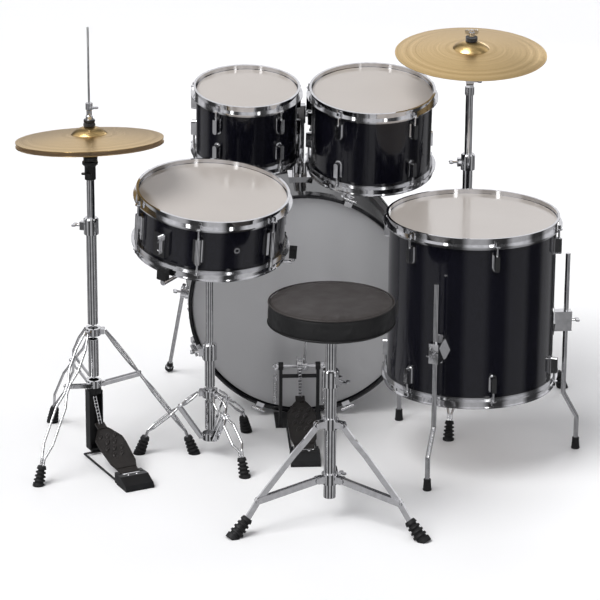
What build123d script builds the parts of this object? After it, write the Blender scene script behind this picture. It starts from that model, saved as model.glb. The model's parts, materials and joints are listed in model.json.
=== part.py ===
import os
from math import atan2, cos, degrees, hypot, radians, sin

from build123d import *

os.makedirs("parts", exist_ok=True)

# Five-piece drum kit with two stands of cymbals, a snare stand, two pedals and a
# round throne.  Millimetres, +Z up, +Y runs from the drummer through the bass drum.
# The origin is on the floor, under the drummer's side of the bass drum.

# ---- driving dimensions: drums -------------------------------------------------
bass_radius = 279.4
bass_depth = 300.0
bass_lift = 3.2
bass_hoop_thickness = 9.0
bass_hoop_width = 34.0
bass_hoop_overhang = 12.0
bass_lug_count = 8

tom_1_radius = 127.0
tom_1_depth = 172.0
tom_1_centre = (-139.5, 108.5, 834.0)
tom_1_lean = (0.005, -0.162, 1.0)

tom_2_radius = 152.4
tom_2_depth = 205.0
tom_2_centre = (178.0, 113.0, 824.0)
tom_2_lean = (0.0, -0.169, 1.0)

snare_radius = 177.8
snare_depth = 134.0
snare_lean = (0.053, -0.144, 1.0)
snare_head_height = 680.0

floor_tom_radius = 203.2
floor_tom_depth = 406.0
floor_tom_centre = (392.0, -280.0, 610.0)

shell_wall = 6.5
membrane = 0.8
flesh_hoop_drop = 10.0
flesh_hoop_height = 7.0
flesh_hoop_reach = 6.0
head_gap = 0.3
rim_height = 11.0
rim_reach = 7.5
flange_reach = 14.0
rim_wall = 2.3
ear_radius = 8.0
rod_offset = 11.0
rod_radius = 2.7
rod_clearance = 0.25
lug_drop = 30.0
lug_length = 44.0
lug_width = 19.0
bass_rod_offset = 21.0

# ---- driving dimensions: stands ------------------------------------------------
hihat_post = (-532.0, -243.0)
crash_post = (421.0, 86.0)
snare_post = (-247.0, -262.0)
throne_post = (20.0, -682.0)

lower_tube_radius = 12.5
upper_tube_radius = 9.5
tube_wall = 1.5
throne_tube_radius = 14.3
throne_upper_radius = 12.5
slide_clearance = 0.15
leg_rod_radius = 3.1

hihat_foot_reach = 246.0
crash_foot_reach = 288.0
snare_foot_reach = 176.0
throne_foot_reach = 253.0

hihat_cymbal_radius = 178.0
crash_cymbal_radius = 190.5
cymbal_thickness = 1.4
hihat_gap = 12.0
hihat_rod_top = 1082.0
hihat_rod_end_radius = 2.5

throne_seat_radius = 148.8
throne_seat_thickness = 62.0
throne_seat_height = 542.0

# ---- driving dimensions: pedals ------------------------------------------------
pedal_x = -15.0
pedal_heel_y = -361.0
pedal_plate_thickness = 3.0
pedal_hinge_y = -296.0
pedal_hinge_z = 21.0
pedal_board_length = 198.0
pedal_board_pitch = 20.0
pedal_board_width = 74.0
pedal_axle_y = -80.0
pedal_axle_z = 162.0
pedal_post_spread = 47.0
pedal_sprocket_radius = 20.0
beater_length = 178.0
beater_rest_angle = -32.0

hihat_pedal_turn = 23.8
hihat_hinge_reach = 206.0
hihat_board_length = 190.0
hihat_board_pitch = 20.0


# ---- helpers -------------------------------------------------------------------
def save(piece, node):
    piece.part.label = node
    export_step(piece.part, f"parts/{node}.step")


# Half-plane through the axis of base: x is the radius, y runs along the axis.
def axial(base, angle=0.0):
    a = radians(angle)
    outward = base.x_dir * cos(a) + base.y_dir * sin(a)
    return Plane(base.origin, x_dir=outward, z_dir=outward.cross(base.z_dir))


# Plane standing on a cylinder about base: x tangential, y along the axis, z outward.
def on_side(base, angle, radius, height):
    a = radians(angle)
    outward = base.x_dir * cos(a) + base.y_dir * sin(a)
    along = base.y_dir * cos(a) - base.x_dir * sin(a)
    centre = base.origin + outward * radius + base.z_dir * height
    return Plane(centre, x_dir=along, z_dir=outward)


# Level plane at a height above a post.
def post_plane(post, height=0.0):
    return Plane((post[0], post[1], height))


# Solid of revolution from (radius, height) points about the axis of base.
def turn(base, *outline, mode=Mode.ADD):
    with BuildSketch(axial(base)) as profile:
        with BuildLine():
            Polyline(*outline, close=True)
        make_face()
    revolve(profile.sketch, axis=Axis(base.origin, base.z_dir), mode=mode)


def ring(base, outer, inner, low, high, mode=Mode.ADD):
    turn(base, (inner, low), (outer, low), (outer, high), (inner, high), mode=mode)


def disc(base, radius, low, high, mode=Mode.ADD):
    turn(base, (0, low), (radius, low), (radius, high), (0, high), mode=mode)


def bar(start, end, radius, mode=Mode.ADD):
    start, end = Vector(start), Vector(end)
    with BuildSketch(Plane(start, z_dir=end - start)) as section:
        Circle(radius)
    extrude(section.sketch, amount=(end - start).length, mode=mode)


def bent_rod(points, radius, bend):
    with BuildLine() as path:
        FilletPolyline(*points, radius=bend)
    wire = path.wires()[0]
    with BuildSketch(Plane(wire @ 0, z_dir=wire % 0)) as section:
        Circle(radius)
    sweep(section.sketch, path=wire)


# Block on a plane: width along x, height along y, rising from low to high along z.
def block(seat, width, height, low, high, mode=Mode.ADD):
    with BuildSketch(seat.offset(low)) as outline:
        Rectangle(width, height)
    extrude(outline.sketch, amount=high - low, mode=mode)


# Flat strip with round ends, centred on a plane that holds its (x, y) points.
def strip(plane, points, width, thickness, mode=Mode.ADD):
    with BuildSketch(plane) as outline:
        for (ax, ay), (bx, by) in zip(points, points[1:]):
            with Locations(((ax + bx) / 2, (ay + by) / 2)):
                SlotCenterToCenter(hypot(bx - ax, by - ay), width, rotation=degrees(atan2(by - ay, bx - ax)))
    extrude(outline.sketch, amount=thickness / 2, both=True, mode=mode)


# Thumb screw standing on a plane, with its wing across x.
def wing_screw(seat, reach, span=24.0):
    bar(seat.origin, seat.origin + seat.z_dir * reach, 3.2)
    wing = Plane(seat.origin + seat.z_dir * reach, x_dir=seat.x_dir, z_dir=seat.y_dir)
    with BuildSketch(wing) as outline:
        Circle(5.0)
        with Locations((span / 2 - 5, -2.5), (5 - span / 2, -2.5)):
            Circle(5.0)
        Rectangle(span - 10, 6)
    extrude(outline.sketch, amount=1.9, both=True)


# ---- drums ---------------------------------------------------------------------
# base is the batter bearing edge, with z pointing out of the batter head.
def drum_ends(base, depth):
    return base, Plane(base.origin - base.z_dir * depth, x_dir=base.x_dir, z_dir=-base.z_dir)


def drum_shell(base, radius, depth):
    edge = 1.5
    inner = radius - shell_wall
    turn(
        base,
        (radius, -edge), (radius - edge, 0), (inner, -shell_wall + edge),
        (inner, -depth + shell_wall - edge), (radius - edge, -depth), (radius, -depth + edge),
    )


def drum_head(end, radius):
    inner = radius + head_gap
    drop = -flesh_hoop_drop
    turn(
        end,
        (0, 0), (inner, 0), (inner, drop - flesh_hoop_height),
        (radius + flesh_hoop_reach, drop - flesh_hoop_height), (radius + flesh_hoop_reach, drop),
        (inner + 1.0, drop), (inner + 1.0, membrane), (0, membrane),
    )


def metal_rim(end, radius, angles):
    inner = radius + head_gap + 1.4
    wall = inner + rim_wall
    foot = -flesh_hoop_drop
    turn(
        end,
        (inner, foot), (radius + flange_reach, foot), (radius + flange_reach, foot + rim_wall),
        (wall, foot + rim_wall), (wall, rim_height - rim_wall), (radius + rim_reach, rim_height - rim_wall),
        (radius + rim_reach, rim_height), (inner, rim_height),
    )
    for angle in angles:
        ear = on_side(end, angle, radius + rod_offset, foot)
        ear_base = Plane(ear.origin, x_dir=end.x_dir, z_dir=end.z_dir)
        disc(ear_base, ear_radius, 0, rim_wall)
    ring(end, radius + flesh_hoop_reach + 0.2, inner - 4, foot - 4, foot, mode=Mode.SUBTRACT)
    for angle in angles:
        ear = on_side(end, angle, radius + rod_offset, foot)
        ear_base = Plane(ear.origin, x_dir=end.x_dir, z_dir=end.z_dir)
        disc(ear_base, rod_radius + rod_clearance, -2, rim_wall + 12, mode=Mode.SUBTRACT)


def tension_rod(end, angle, radius, offset, head_low, tip):
    seat = on_side(end, angle, radius + offset, head_low)
    base = Plane(seat.origin, x_dir=seat.x_dir, z_dir=end.z_dir)
    disc(base, rod_radius, tip - head_low, 1.0)
    disc(base, 5.6, 0, 1.6)
    block(base, 6.2, 6.2, 1.6, 10.0)


def drum_lug(end, angle, radius, offset, top):
    seat = on_side(end, angle, radius, top - lug_length / 2)
    depth = offset + 6.5
    with BuildSketch(seat) as outline:
        with Locations((0, lug_width / 4)):
            Rectangle(lug_width, lug_length - lug_width / 2)
        with Locations((0, -lug_length / 2 + lug_width / 2)):
            Circle(lug_width / 2)
    extrude(outline.sketch, amount=3.0)
    with BuildSketch(seat) as core:
        with Locations((0, lug_width / 4)):
            Rectangle(lug_width - 5, lug_length - lug_width / 2)
        with Locations((0, -lug_length / 2 + lug_width / 2)):
            Circle(lug_width / 2 - 2.5)
    extrude(core.sketch, amount=depth, taper=4)
    hole = on_side(end, angle, radius + offset, top)
    bore = Plane(hole.origin, x_dir=hole.x_dir, z_dir=end.z_dir)
    disc(bore, rod_radius + rod_clearance, -12.0, 2.0, mode=Mode.SUBTRACT)


def make_drum(name, base, radius, depth, angles):
    ends = drum_ends(base, depth)
    with BuildPart() as shell:
        drum_shell(base, radius, depth)
    save(shell, f"{name}_shell")
    with BuildPart() as heads:
        for end in ends:
            drum_head(end, radius)
    save(heads, f"{name}_heads")
    turned = (angles, [-a for a in angles])
    with BuildPart() as rims:
        for end, places in zip(ends, turned):
            metal_rim(end, radius, places)
    save(rims, f"{name}_hoops")
    return ends, turned


# ---- bass drum -----------------------------------------------------------------
bass_axis_z = bass_lift + bass_radius + bass_hoop_thickness + 4.0
bass_base = Plane((0, bass_hoop_overhang, bass_axis_z), x_dir=(1, 0, 0), z_dir=(0, -1, 0))
bass_ends = drum_ends(bass_base, bass_depth)
bass_angles = [(k + 0.5) * 360 / bass_lug_count for k in range(bass_lug_count)]
bass_hoop_inner = bass_radius + 4.0
bass_hoop_outer = bass_hoop_inner + bass_hoop_thickness
bass_hoop_low = bass_hoop_overhang - bass_hoop_width

holder_y = 215.0
holder_x = 2.0
holder_tube_radius = 11.0

spur_angle = 7.0
spur_y = 232.0
spur_stand_off = 24.0
spur_radius = 5.0
spur_foot_x = 337.0
spur_foot_y = 337.0

with BuildPart() as bass_shell:
    drum_shell(bass_base, bass_radius, bass_depth)
    hole = Plane((holder_x, holder_y, bass_axis_z))
    disc(hole, holder_tube_radius + 1.5, 0, bass_radius + 20, mode=Mode.SUBTRACT)
save(bass_shell, "bass_shell")


def bass_head(end):
    inner = bass_radius + head_gap
    flesh = bass_hoop_low
    turn(
        end,
        (0, 0), (inner, 0), (inner, flesh - flesh_hoop_height),
        (bass_hoop_outer - 2.0, flesh - flesh_hoop_height), (bass_hoop_outer - 2.0, flesh),
        (inner + 1.0, flesh), (inner + 1.0, membrane), (0, membrane),
    )


with BuildPart() as bass_heads:
    for end in bass_ends:
        bass_head(end)
save(bass_heads, "bass_heads")

with BuildPart() as bass_hoops:
    for end in bass_ends:
        edge = 2.5
        turn(
            end,
            (bass_hoop_inner, bass_hoop_low), (bass_hoop_outer, bass_hoop_low),
            (bass_hoop_outer, bass_hoop_overhang - edge), (bass_hoop_outer - edge, bass_hoop_overhang),
            (bass_hoop_inner + edge, bass_hoop_overhang), (bass_hoop_inner, bass_hoop_overhang - edge),
        )
save(bass_hoops, "bass_hoops")

claw_thickness = 3.0
claw_width = 20.0
claw_ear_low = -6.0
claw_ear_high = 1.5
bass_rod_radial = bass_hoop_outer + claw_thickness + 5.5


def bass_claw(end, angle):
    plane = axial(end, angle)
    lip = bass_hoop_overhang
    outer = bass_hoop_outer + claw_thickness
    with BuildSketch(plane) as outline:
        with BuildLine():
            Polyline(
                (bass_hoop_inner - 1, lip), (bass_hoop_inner - 1, lip + claw_thickness),
                (outer - 2, lip + claw_thickness), (outer, lip + claw_thickness - 2),
                (outer, claw_ear_high), (bass_rod_radial + 7.5, claw_ear_high),
                (bass_rod_radial + 7.5, claw_ear_low), (bass_hoop_outer + 0.1, claw_ear_low),
                (bass_hoop_outer + 0.1, lip), close=True,
            )
        make_face()
    extrude(outline.sketch, amount=claw_width / 2, both=True)
    hole = on_side(end, angle, bass_rod_radial, 0)
    bore = Plane(hole.origin, x_dir=hole.x_dir, z_dir=end.z_dir)
    disc(bore, rod_radius + 0.5, claw_ear_low - 1, claw_ear_high + 1, mode=Mode.SUBTRACT)



bass_lug_top = bass_hoop_low - flesh_hoop_height - 14.0


# Claws that hook over the wooden hoops, each with its T-handled tension rod.
with BuildPart() as bass_claws:
    for end in bass_ends:
        for angle in bass_angles:
            bass_claw(end, angle)
            seat = on_side(end, angle, bass_rod_radial, claw_ear_high)
            rod = Plane(seat.origin, x_dir=seat.x_dir, z_dir=end.z_dir)
            disc(rod, rod_radius, bass_lug_top - 9.0 - claw_ear_high, 10.0)
            disc(rod, 6.0, 0.1, 2.0)
            disc(rod, 4.5, 2.0, 9.0)
            across = rod.origin + rod.z_dir * 12.0
            bar(across - rod.x_dir * 17, across + rod.x_dir * 17, 3.6)
save(bass_claws, "bass_claws")

# Spurs: straight legs at the front, each on a disc bracket on the shell.
spur_centre_radius = bass_radius + spur_stand_off
spur_pivot_x = spur_centre_radius * cos(radians(spur_angle))
spur_pivot_z = bass_axis_z - spur_centre_radius * sin(radians(spur_angle))
spur_ball = 11.0


def spur_axis(side):
    pivot = Vector(side * spur_pivot_x, spur_y, spur_pivot_z)
    foot = Vector(side * spur_foot_x, spur_foot_y, spur_ball)
    along = (foot - pivot).normalized()
    return pivot, foot, along, along.cross(Vector(0, 1, 0)).normalized()


def spur_inward(side, across):
    return across * (1 if across.X * side < 0 else -1)


# Lugs, spur brackets and the saddle of the tom holder, all screwed to the shell.
with BuildPart() as bass_lugs:
    for end in bass_ends:
        for angle in bass_angles:
            drum_lug(end, angle, bass_radius, bass_rod_radial - bass_radius, bass_lug_top)
    for side in (-1, 1):
        pivot, foot, along, across = spur_axis(side)
        inward = spur_inward(side, across)
        seat = Plane(pivot + inward * (spur_radius + 2.5), x_dir=(0, 1, 0), z_dir=inward)
        disc(seat, 17.0, 0, 9.0)
        block(seat, 44.0, 56.0, 9.0, 24.0)
    saddle = Plane((holder_x, holder_y, bass_axis_z + bass_radius))
    block(saddle, 62.0, 66.0, -6.0, 7.0)
    ring(saddle, holder_tube_radius + 9.0, holder_tube_radius + slide_clearance, -6.0, 40.0)
    disc(saddle, holder_tube_radius + slide_clearance, -8.0, 41.0, mode=Mode.SUBTRACT)
    wing_screw(on_side(saddle, 90, holder_tube_radius + 8.0, 28.0), 15.0)
    disc(bass_base, bass_radius + 0.02, -bass_depth, 0, mode=Mode.SUBTRACT)
save(bass_lugs, "bass_lugs")

for side, hand in ((-1, "left"), (1, "right")):
    pivot, foot, along, across = spur_axis(side)
    inward = spur_inward(side, across)
    with BuildPart() as spur:
        bar(pivot - along * 26, foot - along * spur_ball, spur_radius)
        seat = Plane(pivot + inward * (spur_radius + 2.0), x_dir=(0, 1, 0), z_dir=-inward)
        disc(seat, 15.0, 0, 2 * spur_radius + 3.0)
        cap = Plane(seat.origin - inward * (2 * spur_radius + 3), x_dir=(0, 1, 0), z_dir=-inward)
        wing_screw(cap, 12.0)
        tip = Plane(foot, z_dir=-along)
        turn(
            tip,
            (0, 2 - spur_ball), (6, 2 - spur_ball), (spur_ball, -4), (spur_ball, 3),
            (7, spur_ball - 1), (7, spur_ball + 6), (0, spur_ball + 6),
        )
        split(bisect_by=Plane.XY, keep=Keep.TOP)
    save(spur, f"bass_spur_{hand}")

print("bass drum done")


# ---- toms ----------------------------------------------------------------------
def leaning(centre, lean):
    up = Vector(*lean).normalized()
    return Plane(centre, x_dir=Vector(0, 1, 0).cross(up).normalized(), z_dir=up)


def lug_angles(count, first):
    return [first + 360 * k / count for k in range(count)]


def lugs_and_rods(ends, turned, radius):
    for end, places in zip(ends, turned):
        for angle in places:
            drum_lug(end, angle, radius, rod_offset, -lug_drop)
            tension_rod(end, angle, radius, rod_offset, rim_wall - flesh_hoop_drop, -lug_drop - 9.0)


tilter_height = 748.0
tilter_radius = 15.0
tilter_gap = 0.4
post_block_half = 13.0
tilter_length = 14.0

holder_low = bass_axis_z + bass_radius - 90.0
with BuildPart() as tom_post:
    foot = Plane((holder_x, holder_y, 0))
    ring(foot, holder_tube_radius, holder_tube_radius - tube_wall, holder_low, tilter_height - 26.0)
    seat = foot.offset(tilter_height)
    block(seat, 2 * post_block_half, 30.0, -28.0, 18.0)
    fillet(tom_post.edges().filter_by(Axis.Z).group_by(Axis.Z)[-1], 4.0)
    wing_screw(on_side(seat, 90, 14.5, -14.0), 15.0)
save(tom_post, "tom_post")


# Arm from the tilter on the post to the clamp on the side of a tom.
def tom_bracket(base, radius, depth, side):
    hub = Vector(holder_x + side * (post_block_half + tilter_gap), holder_y, tilter_height)
    hub_plane = Plane(hub, x_dir=(0, 1, 0), z_dir=(side, 0, 0))
    disc(hub_plane, tilter_radius, 0, tilter_length)
    middle = base.origin - base.z_dir * (depth / 2)
    toward = base.to_local_coords(Vector(holder_x, holder_y, middle.Z))
    angle = degrees(atan2(toward.Y, toward.X))
    seat = on_side(base, angle, radius, -depth / 2)
    block(seat, 44.0, 50.0, -6.0, 4.0)
    block(seat, 20.0, 34.0, 4.0, 18.0)
    bar(hub + Vector(side * (tilter_length - 6), 0, 0), seat.origin + seat.z_dir * 10.0, 6.0)
    below = seat.origin + seat.z_dir * 11 - seat.y_dir * 16
    wing_screw(Plane(below, x_dir=seat.x_dir, z_dir=-seat.y_dir), 12.0)
    disc(base, radius + 0.02, -depth, 0, mode=Mode.SUBTRACT)


toms = (
    ("tom_1", leaning(tom_1_centre, tom_1_lean), tom_1_radius, tom_1_depth, -1),
    ("tom_2", leaning(tom_2_centre, tom_2_lean), tom_2_radius, tom_2_depth, 1),
)
for name, base, radius, depth, side in toms:
    ends, turned = make_drum(name, base, radius, depth, lug_angles(5, -90 + 36))
    with BuildPart() as lugs:
        lugs_and_rods(ends, turned, radius)
    save(lugs, f"{name}_lugs")
    with BuildPart() as bracket:
        tom_bracket(base, radius, depth, side)
    save(bracket, f"{name}_bracket")
print("toms done")

# ---- floor tom -----------------------------------------------------------------
floor_leg_radial = 238.0
floor_leg_radius = 6.0
floor_leg_angles = (2.9, 122.9, 242.9)
floor_leg_top = 512.0
floor_leg_bend = 150.0
floor_leg_step = 36.0
floor_leg_stub = 84.0
floor_foot_height = 29.0
floor_bracket_height = 340.0
leg_fit = 0.1

floor_base = Plane(floor_tom_centre)
floor_ground = Plane((floor_tom_centre[0], floor_tom_centre[1], 0))
ends, turned = make_drum(
    "floor_tom", floor_base, floor_tom_radius, floor_tom_depth, lug_angles(6, -90 + 9)
)
with BuildPart() as floor_lugs:
    lugs_and_rods(ends, turned, floor_tom_radius)
    for angle in floor_leg_angles:
        seat = on_side(floor_ground, angle, floor_tom_radius, floor_bracket_height)
        reach = floor_leg_radial - floor_tom_radius
        with BuildSketch(seat.offset(-4)) as plate:
            with BuildLine():
                Polyline((-26, 0), (-9, -36), (9, -36), (26, 0), (9, 36), (-9, 36), close=True)
            make_face()
        extrude(plate.sketch, amount=8)
        block(seat, 24.0, 50.0, 2.0, reach + floor_leg_radius + 7.0)
        clamp = on_side(floor_ground, angle, floor_leg_radial + floor_leg_radius + 6, floor_bracket_height)
        wing_screw(clamp, 14.0)
        leg = on_side(floor_ground, angle, floor_leg_radial, 0)
        bore = Plane(leg.origin)
        disc(bore, floor_leg_radius + leg_fit, 100, floor_leg_top, mode=Mode.SUBTRACT)
    disc(floor_base, floor_tom_radius + 0.02, -floor_tom_depth, 0, mode=Mode.SUBTRACT)
save(floor_lugs, "floor_tom_lugs")

for number, angle in enumerate(floor_leg_angles, 1):
    flat = axial(floor_ground, angle)

    def at(radial, height):
        return flat.from_local_coords(Vector(radial, height, 0))

    low = floor_leg_radial + floor_leg_step
    with BuildPart() as leg:
        bent_rod(
            [
                at(floor_leg_radial, floor_leg_top), at(floor_leg_radial, floor_leg_bend),
                at(low, floor_leg_stub), at(low, floor_foot_height - 0.1),
            ],
            floor_leg_radius, 18.0,
        )
        foot = Plane(at(low, 0), z_dir=(0, 0, 1))
        turn(
            foot,
            (0, 0), (9.8, 0), (10.3, 3), (9.6, 7), (8.4, floor_foot_height - 4),
            (7.8, floor_foot_height), (0, floor_foot_height),
        )
    save(leg, f"floor_tom_leg_{number}")
print("floor tom done")

# ---- snare drum ----------------------------------------------------------------
snare_up = Vector(*snare_lean).normalized()
basket_height = 508.0
snare_hub = Vector(snare_post[0], snare_post[1], basket_height)
snare_centre = snare_hub + snare_up * ((snare_head_height - basket_height) / snare_up.Z)
snare_base = leaning(snare_centre, snare_lean)
snare_angles = lug_angles(6, -90 - 11.5)
snare_lug_length = 66.0
snare_tube_radius = 6.6

snare_ends, snare_turned = make_drum("snare", snare_base, snare_radius, snare_depth, snare_angles)
strainer_angle = -90.0 - 41.5
strainer_width = 34.0
strainer_height = 62.0

with BuildPart() as snare_lugs:
    for angle in snare_angles:
        seat = on_side(snare_base, angle, snare_radius, -snare_depth / 2)
        block(seat, 27.0, snare_lug_length - 8, 0.0, 5.0)
        block(seat, 18.0, snare_lug_length - 3, 4.0, rod_offset + 2)
        axis = on_side(snare_base, angle, snare_radius + rod_offset, -snare_depth / 2)
        along = Plane(axis.origin, x_dir=axis.x_dir, z_dir=snare_base.z_dir)
        tube_half = snare_lug_length / 2
        bore = rod_radius + rod_clearance
        disc(along, snare_tube_radius, -tube_half, tube_half)
        disc(along, bore, tube_half - 12, tube_half + 1, mode=Mode.SUBTRACT)
        disc(along, bore, -tube_half - 1, 12 - tube_half, mode=Mode.SUBTRACT)
    rod_tip = -(snare_depth - snare_lug_length) / 2 - 10.0
    for end, places in zip(snare_ends, snare_turned):
        for angle in places:
            tension_rod(end, angle, snare_radius, rod_offset, rim_wall - flesh_hoop_drop, rod_tip)
    # throw-off body, butt plate opposite it, and the air vent's grommet
    seat = on_side(snare_base, strainer_angle, snare_radius, -snare_depth / 2 - 4)
    block(seat, strainer_width, strainer_height, -2.0, 16.0)
    butt = on_side(snare_base, strainer_angle + 180, snare_radius, -snare_depth / 2 - 16)
    block(butt, 38.0, 26.0, -2.0, 12.0)
    vent = on_side(snare_base, -90 + 18, snare_radius, -snare_depth / 2)
    ring(vent, 7.5, 4.0, -1.0, 2.5)
    disc(snare_base, snare_radius + 0.02, -snare_depth, 0, mode=Mode.SUBTRACT)
save(snare_lugs, "snare_lugs")

wire_count = 16
wire_pitch = 2.6
wire_gap = 2.4
with BuildPart() as snare_wires:
    under = on_side(snare_base, strainer_angle, 0, -snare_depth)
    below = under.origin - snare_base.z_dir * (membrane + wire_gap)
    low = Plane(below, x_dir=under.x_dir, z_dir=snare_base.z_dir)
    for side in (-1, 1):
        plate = Plane(low.origin + low.y_dir * (side * 140), x_dir=low.x_dir, z_dir=low.z_dir)
        block(plate, wire_count * wire_pitch + 4, 14.0, 0, 1.2)
    for k in range(wire_count):
        across = low.x_dir * ((k - (wire_count - 1) / 2) * wire_pitch) + low.z_dir * 0.6
        bar(low.origin + across - low.y_dir * 138, low.origin + across + low.y_dir * 138, 0.55)
save(snare_wires, "snare_wires")

lever_pivot = on_side(snare_base, strainer_angle, snare_radius + 16.4, -snare_depth / 2 - 22)
with BuildPart() as strainer_lever:
    disc(lever_pivot, 6.5, 0, 6.0)
    with BuildSketch(lever_pivot) as arm:
        with Locations((0, 18)):
            SlotOverall(48, 11, rotation=90)
    extrude(arm.sketch, amount=5.0)
    knob_middle = lever_pivot.origin + lever_pivot.y_dir * 34
    knob = Plane(knob_middle, x_dir=lever_pivot.x_dir, z_dir=lever_pivot.z_dir)
    disc(knob, 8.0, 0, 14.0)
save(strainer_lever, "strainer_lever")
print("snare done")

# ---- tripods -------------------------------------------------------------------
rod_spread = 13.0
rod_pinch = leg_rod_radius + 0.5
foot_length = 56.0
stand_foot_length = 48.0
stand_foot_girth = 0.82
ear_radial = 28.0
ear_width = 17.0
collar_half = 9.0
brace_width = 9.0
brace_thickness = 3.0

# Each stand: post, turn of its first leg, reach of its feet, lean of its feet,
# heights of the leg collar and the brace collar, share of the leg above the brace.
tripods = {
    "hihat": (hihat_post, -3.4, hihat_foot_reach, 20.0, 320.0, 185.0, 0.42),
    "crash": (crash_post, 16.7, crash_foot_reach, 20.0, 300.0, 150.0, 0.42),
    "snare": (snare_post, 56.7, snare_foot_reach, 20.0, 160.0, 48.0, 0.36),
}
throne_turn = 84.8
throne_leg_collar = 239.0
throne_brace_collar = 101.0
throne_foot_lean = 42.0
throne_brace_reach = 189.0
throne_brace_height = 79.0


def leg_point(ground, angle, radial, height, across=0.0):
    return axial(ground, angle).from_local_coords(Vector(radial, height, across))


def foot_axis(ground, angle, reach, lean):
    toe = leg_point(ground, angle, reach, 0)
    a = radians(lean)
    return Plane(toe, z_dir=leg_point(ground, angle, reach - sin(a), cos(a)) - toe)


# Ribbed rubber foot, trimmed flat where it stands on the floor.
def rubber_foot(seat, length, girth):
    ribs = 4
    step = (length - 10) / ribs
    outline = [(0, -8.0), (17.5 * girth, -8.0), (17.5 * girth, 5.0)]
    for k in range(ribs):
        low = 5.0 + k * step
        size = (16.5 - 1.0 * k) * girth
        outline += [(size - 3.0, low + 1.5), (size - 3.0, low + step * 0.45), (size + 0.8, low + step * 0.6)]
        outline += [(size, low + step)]
    outline += [(11.5 * girth, length), (0, length)]
    turn(seat, *outline)


def rod_leg(ground, angle, reach, lean, leg_collar, brace_collar, share):
    foot = foot_axis(ground, angle, reach, lean)
    a = radians(lean)
    ankle = (reach - stand_foot_length * sin(a), stand_foot_length * cos(a))
    knee = (ankle[0] - 16 * sin(a), ankle[1] + 16 * cos(a))
    top = (ear_radial + 2.6, leg_collar)
    stations = ((0.0, 5.5), (0.12, rod_spread), (share - 0.13, rod_spread), (share - 0.03, rod_pinch),
                (share + 0.06, rod_pinch), (share + 0.17, rod_spread), (0.88, rod_spread), (1.0, rod_pinch))
    for side in (-1, 1):
        path = []
        for t, across in stations:
            radial = top[0] + (knee[0] - top[0]) * t
            height = top[1] + (knee[1] - top[1]) * t
            path.append(leg_point(ground, angle, radial, height, side * across))
        path.append(leg_point(ground, angle, ankle[0], ankle[1], side * rod_pinch))
        bent_rod(path, leg_rod_radius, 9.0)
    pivot = (top[0] + (knee[0] - top[0]) * share, top[1] + (knee[1] - top[1]) * share)
    bar(
        leg_point(ground, angle, *pivot, -rod_pinch - leg_rod_radius - brace_thickness - 2),
        leg_point(ground, angle, *pivot, rod_pinch + leg_rod_radius + brace_thickness + 2), 3.4,
    )
    flat = axial(ground, angle)
    for side in (-1, 1):
        offset = side * (rod_pinch + leg_rod_radius + brace_thickness / 2 + 0.2)
        strip(flat.offset(offset), ((ear_radial - 4, brace_collar), pivot), brace_width, brace_thickness)


def collar(ground, angles, tube, height, bore):
    ring(ground, tube + 6.0, bore, height - collar_half, height + collar_half)
    for angle in angles:
        flat = axial(ground, angle)
        with BuildSketch(flat) as ear:
            with Locations(((tube + ear_radial) / 2, height)):
                Rectangle(ear_radial - tube, 13)
        extrude(ear.sketch, amount=(ear_width - 2 * brace_thickness - 2) / 2, both=True)
    ring(ground, tube + 1, 0, height - 20, height + 20, mode=Mode.SUBTRACT)
    ring(ground, tube + 2, bore, height - collar_half, height + collar_half)


def height_collar(ground, tube, upper, top, angle):
    bore = tube + 0.05
    turn(
        ground,
        (bore, top - 26), (tube + 5.5, top - 26), (tube + 5.5, top + 12), (tube + 3.5, top + 15),
        (upper + slide_clearance, top + 15), (upper + slide_clearance, top + 0.1), (bore, top + 0.1),
    )
    side = on_side(ground, angle, tube + 3, top - 7)
    block(side, 14.0, 20.0, 0, 12.0)
    wing_screw(on_side(ground, angle, tube + 14, top - 7), 14.0)


def three(first):
    return [first + 120 * k for k in range(3)]


with BuildPart() as tripod_legs:
    for post, first, reach, lean, leg_collar, brace_collar, share in tripods.values():
        for angle in three(first):
            rod_leg(post_plane(post), angle, reach, lean, leg_collar, brace_collar, share)
    ground = post_plane(throne_post)
    a = radians(throne_foot_lean)
    ankle = (throne_foot_reach - foot_length * sin(a), foot_length * cos(a))
    for angle in three(throne_turn):
        flat = axial(ground, angle)
        bend = (
            (ear_radial + 4, throne_leg_collar), (64, 206), (97, 176),
            (throne_brace_reach, throne_brace_height), (ankle[0] + 4 * sin(a), ankle[1] - 4 * cos(a)),
        )
        strip(flat, bend, 15.0, 5.0)
        foot = foot_axis(ground, angle, throne_foot_reach, throne_foot_lean)
        disc(foot, 30, foot_length - 30, foot_length, mode=Mode.SUBTRACT)
        for side in (-1, 1):
            ends = ((ear_radial + 4, throne_brace_collar), (throne_brace_reach, throne_brace_height))
            strip(flat.offset(side * 4.4), ends, 15.0, 3.0)
        pins = (
            (throne_brace_reach, throne_brace_height, 8.0),
            (ear_radial + 4, throne_leg_collar, 6.6),
            (ear_radial + 4, throne_brace_collar, 6.6),
        )
        for radial, height, half in pins:
            ends = [leg_point(ground, angle, radial, height, side * half) for side in (-1, 1)]
            bar(ends[0], ends[1], 3.5)
save(tripod_legs, "tripod_legs")

with BuildPart() as tripod_feet:
    for post, first, reach, lean, *_ in tripods.values():
        for angle in three(first):
            rubber_foot(foot_axis(post_plane(post), angle, reach, lean), stand_foot_length, stand_foot_girth)
    for angle in three(throne_turn):
        ankle_axis = foot_axis(post_plane(throne_post), angle, throne_foot_reach, throne_foot_lean)
        rubber_foot(ankle_axis, foot_length, 1.0)
    split(bisect_by=Plane.XY, keep=Keep.TOP)
save(tripod_feet, "tripod_feet")
print("tripods done")

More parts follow.
